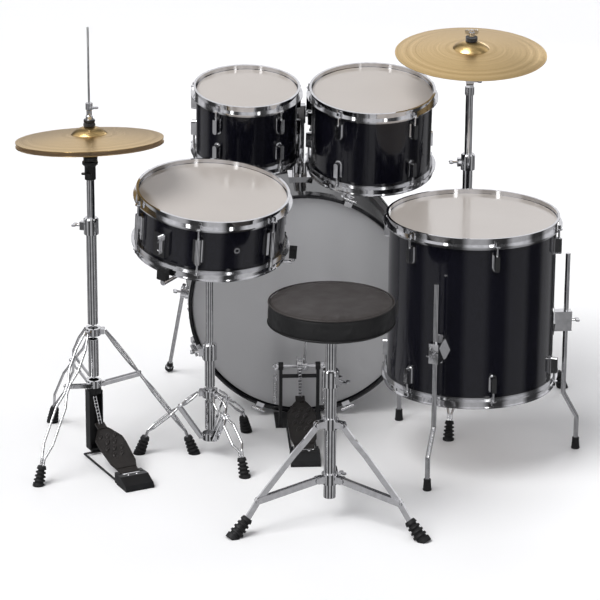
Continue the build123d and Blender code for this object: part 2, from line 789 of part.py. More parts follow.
# ---- stand posts ---------------------------------------------------------------
lower_inner = lower_tube_radius - tube_wall
hihat_tube_low = 168.0
hihat_tube_high = 596.0
crash_tube_low = 120.0
crash_tube_high = 652.0
snare_tube_low = 34.0
snare_tube_high = 276.0
throne_tube_low = 53.0
throne_tube_high = 356.0


def stand_base(name, low, high, wing_angle):
    post, first, _, _, leg_collar, brace_collar, _ = tripods[name]
    ground = post_plane(post)
    angles = three(first)
    with BuildPart() as base:
        ring(ground, lower_tube_radius, lower_inner, low, high)
        collar(ground, angles, lower_tube_radius, leg_collar, lower_tube_radius + 0.05)
        collar(ground, angles, lower_tube_radius, brace_collar, lower_tube_radius + 0.05)
        wing_screw(on_side(ground, first + 60, lower_tube_radius + 5.0, leg_collar), 13.0)
        height_collar(ground, lower_tube_radius, upper_tube_radius, high, wing_angle)
    save(base, f"{name}_stand_base")


stand_base("hihat", hihat_tube_low, hihat_tube_high, 160.0)
stand_base("crash", crash_tube_low, crash_tube_high, 180.0)
stand_base("snare", snare_tube_low, snare_tube_high, 180.0)

throne_ground = post_plane(throne_post)
with BuildPart() as throne_base:
    throne_bore = throne_upper_radius + slide_clearance
    ring(throne_ground, throne_tube_radius, throne_bore, throne_tube_low, throne_tube_high)
    for height in (throne_leg_collar, throne_brace_collar):
        ring(throne_ground, throne_tube_radius + 5, throne_tube_radius + 0.05, height - 13, height + 13)
        for angle in three(throne_turn):
            for side in (-1, 1):
                flat = axial(throne_ground, angle).offset(side * 8.0)
                ends = ((throne_tube_radius + 4, height), (ear_radial + 4, height))
                strip(flat, ends, 16.0, 2.5)
        disc(throne_ground, throne_tube_radius + 0.05, height - 14, height + 14, mode=Mode.SUBTRACT)
        ring(throne_ground, throne_tube_radius, throne_bore, height - 14, height + 14)
    screw = on_side(throne_ground, throne_turn - 60, throne_tube_radius + 4, throne_brace_collar + 6)
    wing_screw(screw, 14.0)
    height_collar(throne_ground, throne_tube_radius, throne_upper_radius, throne_tube_high, -40.0)
save(throne_base, "throne_base")

with BuildPart() as throne_upper:
    seat_low = throne_seat_height - throne_seat_thickness
    ring(throne_ground, throne_upper_radius, throne_upper_radius - tube_wall, 190.0, seat_low - 4)
    disc(throne_ground, 70.0, seat_low - 4, seat_low - 0.4)
    ring(throne_ground, throne_upper_radius + 6, throne_upper_radius - 1, seat_low - 34, seat_low - 4)
save(throne_upper, "throne_upper_tube")

with BuildPart() as throne_seat:
    top = throne_seat_height
    low = top - throne_seat_thickness
    with BuildSketch(axial(throne_ground)) as profile:
        with BuildLine():
            Line((0, low), (throne_seat_radius - 8, low))
            RadiusArc((throne_seat_radius - 8, low), (throne_seat_radius, low + 8), -8)
            Line((throne_seat_radius, low + 8), (throne_seat_radius, top - 10))
            RadiusArc((throne_seat_radius, top - 10), (throne_seat_radius - 10, top), -10)
            Line((throne_seat_radius - 10, top), (0, top))
            Line((0, top), (0, low))
        make_face()
    revolve(profile.sketch, axis=Axis(throne_ground.origin, throne_ground.z_dir))
save(throne_seat, "throne_seat")
print("throne done")


# ---- cymbals -------------------------------------------------------------------
# Cymbal with its edge in the plane of base and its bell standing up.
def cymbal(base, radius, hole, bell_radius, bow, bell):
    with BuildSketch(axial(base)) as profile:
        with BuildLine():
            for drop in (0, cymbal_thickness):
                rise = bow + bell
                shoulder = (bell_radius * 0.66, bow + bell * 0.66 - drop)
                ThreePointArc((hole, rise - drop), shoulder, (bell_radius, bow - drop))
                middle = (bell_radius + radius) / 2
                ThreePointArc((bell_radius, bow - drop), (middle, bow * 0.6 - drop), (radius, -drop))
            Line((hole, bow + bell), (hole, bow + bell - cymbal_thickness))
            Line((radius, 0), (radius, -cymbal_thickness))
        make_face()
    revolve(profile.sketch, axis=Axis(base.origin, base.z_dir))


crash_lean = Vector(0.0, -0.115, 1.0)
crash_pivot_height = 856.0
crash_bow = 15.0
crash_bell = 19.0
crash_bell_radius = 46.0
cymbal_hole = 7.0
crash_pivot = Vector(crash_post[0], crash_post[1], crash_pivot_height)
crash_up = crash_lean.normalized()
crash_edge_rise = 74.0
crash_base = leaning(crash_pivot + crash_up * crash_edge_rise, crash_lean)
crash_ground = post_plane(crash_post)
tilter_tooth = 11.0

with BuildPart() as crash_upper:
    ring(crash_ground, upper_tube_radius, upper_tube_radius - tube_wall, 480.0, crash_pivot_height - 26)
    disc(crash_ground, upper_tube_radius + 2.5, crash_pivot_height - 34, crash_pivot_height - 14)
    side = Plane(crash_pivot, x_dir=(0, 1, 0), z_dir=(1, 0, 0))
    disc(side, tilter_tooth, 0.3, 9.0)
    block(Plane(crash_pivot - Vector(0, 0, 10), x_dir=(0, 1, 0), z_dir=(1, 0, 0)), 14.0, 22.0, 0.3, 9.0)
    wing_screw(side.offset(8.0), 14.0)
save(crash_upper, "crash_upper_tube")

crash_inner_top = crash_bow + crash_bell
with BuildPart() as crash_tilter:
    side = Plane(crash_pivot, x_dir=(0, 1, 0), z_dir=(-1, 0, 0))
    disc(side, tilter_tooth, 0.3, 9.0)
    stem = leaning(crash_pivot, crash_lean)
    block(Plane(stem.origin - stem.x_dir * 4.65, x_dir=stem.x_dir, z_dir=stem.z_dir), 8.7, 13.0, 0.0, 16.0)
    block(stem, 18.0, 13.0, tilter_tooth + 1.5, 30.0)
    disc(stem, 4.0, tilter_tooth + 1.5, crash_edge_rise + crash_inner_top + 29.0)
    disc(stem, 6.0, 29.0, crash_edge_rise + crash_inner_top + 9.0)
    disc(stem, 17.0, 50.0, crash_edge_rise + crash_inner_top - cymbal_thickness - 12.4)
    # wing nut over the top felt
    nut = stem.offset(crash_edge_rise + crash_inner_top + 10.5)
    disc(nut, 8.0, 0, 12.0)
    with BuildSketch(Plane(nut.origin + nut.z_dir * 11, x_dir=nut.x_dir, z_dir=-nut.y_dir)) as wings:
        with Locations((-11, 2), (11, 2)):
            Circle(6)
        Rectangle(20, 7)
    extrude(wings.sketch, amount=2.0, both=True)
save(crash_tilter, "crash_tilter")

with BuildPart() as crash_cymbal:
    cymbal(crash_base, crash_cymbal_radius, cymbal_hole, crash_bell_radius, crash_bow, crash_bell)
save(crash_cymbal, "crash_cymbal")

with BuildPart() as crash_felts:
    crash_inner_low = crash_inner_top - cymbal_thickness
    ring(crash_base, 16.0, 6.1, crash_inner_low - 12.2, crash_inner_low - 1.6)
    ring(crash_base, 15.0, 6.1, crash_inner_top + 0.3, crash_inner_top + 10.3)
save(crash_felts, "crash_felts")

hihat_lean = (-0.029, 0.105, 1.0)
hihat_bow = 13.0
hihat_bell = 19.0
hihat_bell_radius = 44.0
hihat_hole = 9.2
hihat_rod_radius = 2.9
hihat_ground = post_plane(hihat_post)
hihat_rise = hihat_bow + hihat_bell
hihat_middle = 801.0
hihat_centre = Vector(hihat_post[0], hihat_post[1], hihat_middle)
hihat_up = Vector(*hihat_lean).normalized()
hihat_top_base = leaning(hihat_centre + hihat_up * (hihat_gap / 2), hihat_lean)
hihat_low_base = leaning(hihat_centre - hihat_up * (hihat_gap / 2), hihat_lean)
hihat_low_down = Plane(hihat_low_base.origin, x_dir=hihat_low_base.x_dir, z_dir=-hihat_low_base.z_dir)
seat_top = hihat_middle - hihat_gap / 2 - hihat_rise - 11.0

with BuildPart() as hihat_upper:
    ring(hihat_ground, upper_tube_radius, upper_tube_radius - tube_wall, 430.0, seat_top - 32)
save(hihat_upper, "hihat_upper_tube")

with BuildPart() as hihat_seat:
    turn(
        hihat_ground,
        (hihat_rod_radius + 3, seat_top), (19, seat_top), (19, seat_top - 6),
        (13.5, seat_top - 12), (13.5, seat_top - 44),
        (upper_tube_radius + 0.05, seat_top - 44), (upper_tube_radius + 0.05, seat_top - 31.9),
        (hihat_rod_radius + 3, seat_top - 31.9),
    )
    wing_screw(on_side(hihat_ground, 250, 13.0, seat_top - 24), 12.0)
    felt = leaning(hihat_low_base.origin - hihat_up * (hihat_rise + 0.2), hihat_lean)
    ring(felt, 17.0, hihat_rod_radius + 5.3, -7.5, 0)
save(hihat_seat, "hihat_seat")

with BuildPart() as hihat_bottom:
    cymbal(hihat_low_down, hihat_cymbal_radius, hihat_hole, hihat_bell_radius, hihat_bow, hihat_bell)
save(hihat_bottom, "hihat_bottom_cymbal")

with BuildPart() as hihat_top:
    cymbal(hihat_top_base, hihat_cymbal_radius, hihat_hole, hihat_bell_radius, hihat_bow, hihat_bell)
save(hihat_top, "hihat_top_cymbal")

clutch_low = hihat_middle + hihat_gap / 2 + hihat_rise
with BuildPart() as hihat_clutch:
    bore = hihat_rod_radius + 0.1
    turn(
        hihat_ground,
        (bore, clutch_low - 18), (4.6, clutch_low - 18), (4.6, clutch_low + 12),
        (13, clutch_low + 12), (13, clutch_low + 16),
        (8.5, clutch_low + 18), (8.5, clutch_low + 26), (6.5, clutch_low + 28), (6.5, clutch_low + 40),
        (8.5, clutch_low + 42), (8.5, clutch_low + 58), (bore, clutch_low + 58),
    )
    ring(hihat_ground, 10.0, bore, clutch_low - 24, clutch_low - 17)
    wing_screw(on_side(hihat_ground, -60, 7.5, clutch_low + 50), 12.0)
save(hihat_clutch, "hihat_clutch")

pull_rod_low = 157.0
with BuildPart() as hihat_rod:
    disc(hihat_ground, hihat_rod_radius, pull_rod_low, clutch_low + 58)
    disc(hihat_ground, hihat_rod_end_radius, clutch_low + 58, hihat_rod_top)
save(hihat_rod, "hihat_rod")
print("cymbals done")

# ---- snare stand top -----------------------------------------------------------
snare_ground = post_plane(snare_post)
basket_plane = leaning(snare_hub, snare_lean)
basket_arm_angles = (-125.0, -5.0, 115.0)
basket_grip_radial = snare_radius + flange_reach + 5.0
flange_above_hub = (snare_head_height - basket_height) / snare_up.Z - snare_depth - flesh_hoop_drop

with BuildPart() as snare_upper:
    ring(snare_ground, upper_tube_radius, upper_tube_radius - tube_wall, 130.0, basket_height - 40)
    disc(snare_ground, upper_tube_radius + 2.5, basket_height - 46, basket_height - 26)
    side = Plane(snare_hub - Vector(0, 0, 14), x_dir=(0, 1, 0), z_dir=(1, 0, 0))
    disc(side, 12.0, 0.3, 9.0)
    block(Plane(side.origin - Vector(0, 0, 10), x_dir=(0, 1, 0), z_dir=(1, 0, 0)), 14.0, 18.0, 0.3, 9.0)
    wing_screw(side.offset(8.0), 14.0)
save(snare_upper, "snare_upper_tube")

with BuildPart() as snare_basket:
    side = Plane(snare_hub - Vector(0, 0, 14), x_dir=(0, 1, 0), z_dir=(-1, 0, 0))
    disc(side, 12.0, 0.3, 9.0)
    cheek = basket_plane.origin - basket_plane.x_dir * 4.65
    block(Plane(cheek, x_dir=basket_plane.x_dir, z_dir=basket_plane.z_dir), 8.7, 14.0, -14.0, 4.0)
    disc(basket_plane, 15.0, 0.5, 12.0)
    for angle in basket_arm_angles:
        path = [
            axial(basket_plane, angle).from_local_coords(Vector(r, h, 0))
            for r, h in ((10, 5), (60, 6), (basket_grip_radial + 7, 9), (basket_grip_radial + 7, 46))
        ]
        bent_rod(path, 4.5, 8.0)
save(snare_basket, "snare_basket")

with BuildPart() as basket_tips:
    for angle in basket_arm_angles:
        seat = on_side(basket_plane, angle, basket_grip_radial, flange_above_hub + 5.0)
        block(seat, 24.0, 24.0, -4.5, 14.0)
        arm = on_side(basket_plane, angle, basket_grip_radial + 7, 0)
        bore = Plane(arm.origin, x_dir=arm.x_dir, z_dir=basket_plane.z_dir)
        disc(bore, 4.6, 0, 46.1, mode=Mode.SUBTRACT)
save(basket_tips, "basket_tips")
print("snare stand done")


# ---- pedals --------------------------------------------------------------------
# Footboard lying along y of its plane, hinge at the origin, toe at +y.
def footboard(seat, length, width, tongue=24.0, thickness=5.0):
    shoulder = length - 30.0
    half = width / 2
    with BuildSketch(seat) as outline:
        with BuildLine():
            Polyline(
                (half - 12, 0), (half - 12, 14), (half - 4, length * 0.2),
                (half, length * 0.55), (half - 1, length * 0.68),
                (tongue / 2 + 6, shoulder), (tongue / 2, length - 22), (tongue / 2, length),
                (-tongue / 2, length), (-tongue / 2, length - 22), (-tongue / 2 - 6, shoulder),
                (1 - half, length * 0.68), (-half, length * 0.55), (4 - half, length * 0.2), (12 - half, 14),
                (12 - half, 0),
                close=True,
            )
        make_face()
    extrude(outline.sketch, amount=thickness)
    with BuildSketch(seat.offset(thickness - 1.6)) as dimples:
        for row in range(4):
            count = 3 if row % 2 else 2
            for k in range(count):
                with Locations(((k - (count - 1) / 2) * 19.0, length * (0.36 + 0.12 * row))):
                    SlotOverall(13, 7, rotation=60)
    extrude(dimples.sketch, amount=4, mode=Mode.SUBTRACT)
    bar(seat.origin - seat.x_dir * (half - 14), seat.origin + seat.x_dir * (half - 14), 5.0)
    bar(seat.origin - seat.x_dir * half, seat.origin + seat.x_dir * half, 2.45, mode=Mode.SUBTRACT)


tie_rod_height = 5.4


# Heel plate with its hinge pin, and rods that tie it to the pedal's post.
def heel_plate(ground, hinge_reach, hinge_height, width, rod_reach):
    hinge = Plane(ground.origin - ground.y_dir * hinge_reach, x_dir=ground.x_dir, z_dir=ground.z_dir)
    side = Plane(hinge.origin, x_dir=hinge.y_dir, z_dir=hinge.x_dir)
    half = width / 2
    with BuildSketch(side.offset(-half)) as profile:
        with BuildLine():
            Polyline(
                (-66, 0), (-8, 0), (-8, hinge_height + 4), (-30, hinge_height + 5), (-60, 13), (-66, 6),
                close=True,
            )
        make_face()
    extrude(profile.sketch, amount=width)
    for hand in (-1, 1):
        cheek = side.offset(hand * (half - 6) - 4)
        with BuildSketch(cheek) as ear:
            with BuildLine():
                Polyline((-10, 0), (7, 0), (7, hinge_height + 5), (-10, hinge_height + 5), close=True)
            make_face()
        extrude(ear.sketch, amount=8)
        start = hinge.origin + hinge.x_dir * (hand * (half - 5)) + hinge.z_dir * tie_rod_height
        bar(start, start + hinge.y_dir * (hinge_reach - rod_reach), 2.6)
    pin = hinge.origin + hinge.z_dir * hinge_height
    bar(pin - hinge.x_dir * (half - 3), pin + hinge.x_dir * (half - 3), 2.4)


def board_plane(ground, hinge_reach, hinge_height, pitch):
    hinge = ground.origin - ground.y_dir * hinge_reach + ground.z_dir * hinge_height
    a = radians(pitch)
    normal = ground.z_dir * cos(a) - ground.y_dir * sin(a)
    return Plane(hinge, x_dir=ground.x_dir, z_dir=normal)


pedal_ground = Plane((pedal_x, 0, 0))
pedal_board = board_plane(pedal_ground, -pedal_hinge_y, pedal_hinge_z, pedal_board_pitch)
axle_bearing = 10.5
axle_radius = 5.0

with BuildPart() as pedal_frame:
    heel_plate(pedal_ground, -pedal_hinge_y, pedal_hinge_z, pedal_board_width, -pedal_axle_y - 4)
    plate = Plane((pedal_x, (pedal_axle_y - 14 + bass_hoop_overhang) / 2, 0))
    block(plate, 2 * pedal_post_spread + 26, bass_hoop_overhang - pedal_axle_y + 14, 0, pedal_plate_thickness)
    for side in (-1, 1):
        post = Plane((pedal_x + side * pedal_post_spread, pedal_axle_y, 0))
        block(post, 8.0, 18.0, 0, pedal_axle_z)
        bar(
            (pedal_x + side * (pedal_post_spread - 6), pedal_axle_y, pedal_axle_z),
            (pedal_x + side * (pedal_post_spread + 6), pedal_axle_y, pedal_axle_z), axle_bearing,
        )
    low = pedal_axle_z - pedal_sprocket_radius - 7
    low_ends = [(pedal_x + side * pedal_post_spread, pedal_axle_y, low) for side in (-1, 1)]
    bar(low_ends[0], low_ends[1], 5.0)
    bar((pedal_x - 90, pedal_axle_y, pedal_axle_z), (pedal_x + 90, pedal_axle_y, pedal_axle_z),
        axle_radius + 0.06, mode=Mode.SUBTRACT)
    for side in (-1, 1):
        hook = Vector(pedal_x + side * pedal_post_spread, pedal_axle_y, 52)
        bar(hook, hook + Vector(side * 16, 0, 0), 2.5)
    # clamp that grips the hoop of the bass drum from inside
    with BuildSketch(Plane((pedal_x - 18, 0, 0), x_dir=(0, 1, 0), z_dir=(1, 0, 0))) as jaw:
        with BuildLine():
            Polyline((-30, 0), (-12, 0), (-12, 12.4), (8, 12.4), (8, 21), (-30, 21), close=True)
        make_face()
    extrude(jaw.sketch, amount=36)

    hoop_groove = (bass_hoop_outer + 0.1, bass_hoop_inner - 0.1)
    ring(bass_base, hoop_groove[0], hoop_groove[1], -40.0, bass_hoop_overhang + 3.0, mode=Mode.SUBTRACT)
save(pedal_frame, "pedal_frame")

with BuildPart() as pedal_footboard:
    footboard(pedal_board, pedal_board_length, pedal_board_width)
save(pedal_footboard, "pedal_footboard")

beater_side = 12.0
axle = Plane((pedal_x, pedal_axle_y, pedal_axle_z), x_dir=(0, 1, 0), z_dir=(1, 0, 0))
beater_turn = radians(beater_rest_angle)
beater_up = Vector(0, sin(beater_turn), cos(beater_turn))
beater_root = Vector(pedal_x + beater_side, pedal_axle_y, pedal_axle_z)
beater_centre = beater_root + beater_up * beater_length
beater_radius = 21.0

with BuildPart() as beater_shaft:
    half = pedal_post_spread + 20
    disc(axle, axle_radius, -half, half)
    for side in (-1, 1):
        outer = axle.offset(side * (pedal_post_spread + 12))
        disc(outer, 9.0, -3.5, 3.5)
        reach = axle.offset(side * (pedal_post_spread + 14.5))
        strip(reach, ((0, 0), (-19, 0)), 10.0, 5.0)
    disc(axle, pedal_sprocket_radius, -5.5, 4.5)
    disc(axle.offset(beater_side), 12.0, -7.0, 7.0)
    bar(beater_root - beater_up * 16, beater_centre - beater_up * (beater_radius - 4), 3.1)
    wing_screw(Plane(beater_root - Vector(0, 11.5, 0), x_dir=(1, 0, 0), z_dir=(0, -1, 0)), 8.0, 16.0)
save(beater_shaft, "beater_shaft")

with BuildPart() as beater_head:
    forward = Vector(0, cos(beater_turn), -sin(beater_turn))
    face = Plane(beater_centre, x_dir=(1, 0, 0), z_dir=forward)
    turn(
        face,
        (0, -19), (13, -19), (19, -13), (beater_radius, -6), (beater_radius, 6), (19, 13), (13, 19), (0, 19),
    )
    bar(beater_root, beater_centre - beater_up * (beater_radius - 4), 3.1, mode=Mode.SUBTRACT)
save(beater_head, "beater_head")

with BuildPart() as pedal_springs:
    for side in (-1, 1):
        x = pedal_x + side * (pedal_post_spread + 14.5)
        bar((x, pedal_axle_y - 1, 64), (x, pedal_axle_y - 14, 144), 5.5)
save(pedal_springs, "pedal_springs")

# Hi-hat pedal: the heel lies towards the drummer, on the post's own plane.
hihat_turn = radians(hihat_pedal_turn)
hihat_plane = Plane(hihat_ground.origin, x_dir=(cos(hihat_turn), sin(hihat_turn), 0), z_dir=(0, 0, 1))
hihat_board = board_plane(hihat_plane, hihat_hinge_reach, pedal_hinge_z, hihat_board_pitch)
frame_low = 14.0
frame_depth = 12.0

with BuildPart() as hihat_frame:
    heel_plate(hihat_plane, hihat_hinge_reach, pedal_hinge_z, pedal_board_width, 8.0)
    ring(hihat_plane, lower_tube_radius + 5.5, lower_tube_radius + 0.05, hihat_tube_low, hihat_tube_low + 8)
    ring(hihat_plane, lower_tube_radius + 5.5, 6.0, hihat_tube_low - 8, hihat_tube_low - 0.1)
    ring(hihat_plane, lower_tube_radius + 5.5, lower_tube_radius + 0.05, hihat_tube_low - 0.1, hihat_tube_low + 1)
    back_middle = hihat_plane.origin + hihat_plane.y_dir * frame_depth
    back = Plane(back_middle, x_dir=hihat_plane.x_dir, z_dir=hihat_plane.z_dir)
    block(back, 36.0, 4.0, frame_low, hihat_tube_low - 1)
    for side in (-1, 1):
        wall_middle = hihat_plane.origin + hihat_plane.x_dir * (side * 16.5)
        wall = Plane(wall_middle, x_dir=hihat_plane.x_dir, z_dir=hihat_plane.z_dir)
        block(wall, 3.0, 2 * frame_depth, frame_low, hihat_tube_low - 1)
    start = hihat_plane.origin - hihat_plane.y_dir * 8 + hihat_plane.z_dir * tie_rod_height
    half = pedal_board_width / 2 - 5
    bar(start - hihat_plane.x_dir * half, start + hihat_plane.x_dir * half, 2.6)
    block(hihat_plane, 20.0, 12.0, 4.6, frame_low + 2)
    block(hihat_plane, 36.0, 26.0, frame_low, frame_low + 3)
    bar(start, start + hihat_plane.y_dir * 8, 2.6)
save(hihat_frame, "hihat_pedal_frame")

with BuildPart() as hihat_footboard:
    footboard(hihat_board, hihat_board_length, pedal_board_width)
save(hihat_footboard, "hihat_footboard")


def chain(top, low, width=7.0, thickness=3.0):
    run = Plane(low, x_dir=(1, 0, 0), z_dir=top - low)
    block(run, width, thickness, 0.0, (top - low).length)


toe = pedal_board.from_local_coords(Vector(0, pedal_board_length - 6, 7.4))
hihat_toe = hihat_board.from_local_coords(Vector(0, hihat_board_length - 6, 7.4))
with BuildPart() as pedal_chains:
    sprocket_back = pedal_axle_y - pedal_sprocket_radius - 1.7
    chain(Vector(pedal_x, sprocket_back, pedal_axle_z), Vector(pedal_x, toe.Y, toe.Z))
    chain(Vector(hihat_post[0], hihat_post[1], pull_rod_low - 1.5), hihat_toe)
save(pedal_chains, "pedal_chains")
print("pedals done")
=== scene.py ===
import bpy
import bmesh
import json
from math import cos, pi, radians, sin
from mathutils import Matrix, Vector


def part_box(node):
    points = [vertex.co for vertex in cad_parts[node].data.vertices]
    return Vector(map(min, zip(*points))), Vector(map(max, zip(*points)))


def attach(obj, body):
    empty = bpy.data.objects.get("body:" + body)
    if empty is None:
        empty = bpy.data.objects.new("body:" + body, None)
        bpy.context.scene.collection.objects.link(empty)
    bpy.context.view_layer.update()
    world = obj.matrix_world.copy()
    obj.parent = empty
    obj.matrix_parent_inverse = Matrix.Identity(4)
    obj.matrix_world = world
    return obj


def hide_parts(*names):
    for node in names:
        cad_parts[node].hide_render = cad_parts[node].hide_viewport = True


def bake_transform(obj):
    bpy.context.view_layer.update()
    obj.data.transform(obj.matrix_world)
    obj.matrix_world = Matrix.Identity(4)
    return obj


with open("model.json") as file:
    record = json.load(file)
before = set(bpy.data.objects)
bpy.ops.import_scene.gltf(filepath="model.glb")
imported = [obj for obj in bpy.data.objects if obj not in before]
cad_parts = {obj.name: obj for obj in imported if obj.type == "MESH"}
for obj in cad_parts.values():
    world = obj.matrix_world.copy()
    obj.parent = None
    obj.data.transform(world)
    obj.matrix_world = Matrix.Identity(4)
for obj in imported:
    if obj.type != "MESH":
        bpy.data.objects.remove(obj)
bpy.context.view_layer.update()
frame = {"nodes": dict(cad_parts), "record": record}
nodes = frame["nodes"]
print("frame loaded")

studio = {
    "cameraAt": (-0.4545, -7.0565, 2.701),
    "cameraTurn": -3.61,
    "cameraPitch": -18.68,
    "cameraRoll": 0.34,
    "lens": 176.4,
    "farClip": 60,
    "floorColour": (0.95, 0.95, 0.955, 1),
    "floorRoughness": 0.55,
    "floorSpecular": 0.25,
    "floorReach": 30,
    "floorDrop": 0.0005,
    "wallReach": 29,
    "wallHeight": 50,
    "sunPower": 2.3,
    "sunSpread": 38.0,
    "sunFrom": (-0.55, -0.35, 1.0),
    "strips": {
        "stripLeft": {"at": (-2.4, -3.4, 1.2), "size": (0.35, 2.4), "power": 13.0},
        "stripRight": {"at": (1.6, -4.0, 1.2), "size": (0.30, 2.4), "power": 10.4},
        "stripBack": {"at": (1.9, 3.2, 1.4), "size": (0.6, 2.4), "power": 13.0},
    },
    "stripsFace": (0, 0, 0.45),
    "skyLevels": ((0.0, 0.72), (0.36, 0.42), (0.47, 0.26), (0.56, 0.62), (0.68, 0.98), (1.0, 0.68)),
    "stripes": 6.0,
    "stripePhase": -pi / 2,
    "stripeDark": 0.09,
    "stripeWave": (-0.6, 0.4),
    "skyBlue": 1.03,
}


def addCamera():
    camera = bpy.data.objects.new("camera", bpy.data.cameras.new("camera"))
    bpy.context.collection.objects.link(camera)
    camera.data.lens = studio["lens"]
    camera.data.clip_end = studio["farClip"]
    turn = Matrix.Rotation(radians(studio["cameraTurn"]), 4, "Z")
    tip = Matrix.Rotation(radians(90 + studio["cameraPitch"]), 4, "X")
    roll = Matrix.Rotation(radians(studio["cameraRoll"]), 4, "Z")
    camera.matrix_world = Matrix.Translation(studio["cameraAt"]) @ turn @ tip @ roll
    bpy.context.scene.camera = camera


def meshObject(name, bm):
    mesh = bpy.data.meshes.new(name)
    bm.to_mesh(mesh)
    bm.free()
    obj = bpy.data.objects.new(name, mesh)
    bpy.context.collection.objects.link(obj)
    return obj


def addFloor():
    bm = bmesh.new()
    bmesh.ops.create_grid(bm, x_segments=1, y_segments=1, size=studio["floorReach"])
    floor = meshObject("studioFloor", bm)
    floor.location.z = -studio["floorDrop"]
    mat = bpy.data.materials.new("paleFloor")
    mat.use_nodes = True
    shader = mat.node_tree.nodes["Principled BSDF"]
    shader.inputs["Base Color"].default_value = studio["floorColour"]
    shader.inputs["Roughness"].default_value = studio["floorRoughness"]
    shader.inputs["Specular IOR Level"].default_value = studio["floorSpecular"]
    floor.data.materials.append(mat)
    floor.visible_glossy = False


# A tall white wall far out, seen only by the camera, so that every view has a plain backdrop.
def addBackdrop():
    bm = bmesh.new()
    reach = studio["wallReach"]
    bmesh.ops.create_cone(bm, segments=96, radius1=reach, radius2=reach, depth=studio["wallHeight"])
    wall = meshObject("studioWall", bm)
    mat = bpy.data.materials.new("whiteWall")
    mat.use_nodes = True
    shader = mat.node_tree.nodes["Principled BSDF"]
    shader.inputs["Base Color"].default_value = (0, 0, 0, 1)
    shader.inputs["Emission Color"].default_value = (1, 1, 1, 1)
    shader.inputs["Emission Strength"].default_value = 1.0
    wall.data.materials.append(mat)
    for ray in ("glossy", "diffuse", "shadow", "transmission"):
        setattr(wall, "visible_" + ray, False)


def addStrip(name, strip):
    light = bpy.data.lights.new(name, "AREA")
    light.shape = "RECTANGLE"
    light.size, light.size_y = strip["size"]
    light.energy = strip["power"]
    lamp = bpy.data.objects.new(name, light)
    bpy.context.collection.objects.link(lamp)
    lamp.location = strip["at"]
    aim = Vector(studio["stripsFace"]) - Vector(strip["at"])
    lamp.rotation_euler = aim.to_track_quat("-Z", "Y").to_euler()


# The sky is pale with a few darker upright bands, which give polished metal its contrast.
def addSky():
    world = bpy.data.worlds.new("studioWorld")
    world.use_nodes = True
    tree = world.node_tree
    sky = tree.nodes["Background"]
    place = tree.nodes.new("ShaderNodeTexCoord")
    split = tree.nodes.new("ShaderNodeSeparateXYZ")
    tree.links.new(place.outputs["Generated"], split.inputs["Vector"])
    height = tree.nodes.new("ShaderNodeMapRange")
    height.inputs["From Min"].default_value = -1.0
    tree.links.new(split.outputs["Z"], height.inputs["Value"])
    ramp = tree.nodes.new("ShaderNodeValToRGB")
    stops = ramp.color_ramp.elements
    for position, _ in studio["skyLevels"][1:-1]:
        stops.new(position)
    for stop, (position, level) in zip(stops, studio["skyLevels"]):
        stop.position = position
        stop.color = (level, level, level * studio["skyBlue"], 1)
    tree.links.new(height.outputs["Result"], ramp.inputs["Fac"])
    bearing = tree.nodes.new("ShaderNodeMath")
    bearing.operation = "ARCTAN2"
    tree.links.new(split.outputs["Y"], bearing.inputs[0])
    tree.links.new(split.outputs["X"], bearing.inputs[1])
    times = tree.nodes.new("ShaderNodeMath")
    times.operation = "MULTIPLY_ADD"
    times.inputs[1].default_value = studio["stripes"]
    times.inputs[2].default_value = studio["stripePhase"]
    tree.links.new(bearing.outputs[0], times.inputs[0])
    wave = tree.nodes.new("ShaderNodeMath")
    wave.operation = "SINE"
    tree.links.new(times.outputs[0], wave.inputs[0])
    level = tree.nodes.new("ShaderNodeMapRange")
    level.inputs["From Min"].default_value, level.inputs["From Max"].default_value = studio["stripeWave"]
    level.inputs["To Min"].default_value = studio["stripeDark"]
    level.inputs["To Max"].default_value = 1.0
    tree.links.new(wave.outputs[0], level.inputs["Value"])
    mix = tree.nodes.new("ShaderNodeVectorMath")
    mix.operation = "SCALE"
    tree.links.new(ramp.outputs["Color"], mix.inputs[0])
    tree.links.new(level.outputs["Result"], mix.inputs["Scale"])
    tree.links.new(mix.outputs["Vector"], sky.inputs["Color"])
    bpy.context.scene.world = world


def addLights():
    addSky()
    sun = bpy.data.lights.new("softSun", "SUN")
    sun.energy = studio["sunPower"]
    sun.angle = radians(studio["sunSpread"])
    lamp = bpy.data.objects.new("softSun", sun)
    bpy.context.collection.objects.link(lamp)
    lamp.rotation_euler = Vector(studio["sunFrom"]).to_track_quat("Z", "Y").to_euler()
    for name, strip in studio["strips"].items():
        addStrip(name, strip)
    bpy.context.scene.view_settings.view_transform = "Standard"


addCamera()
addFloor()
addBackdrop()
addLights()
print("studio set")


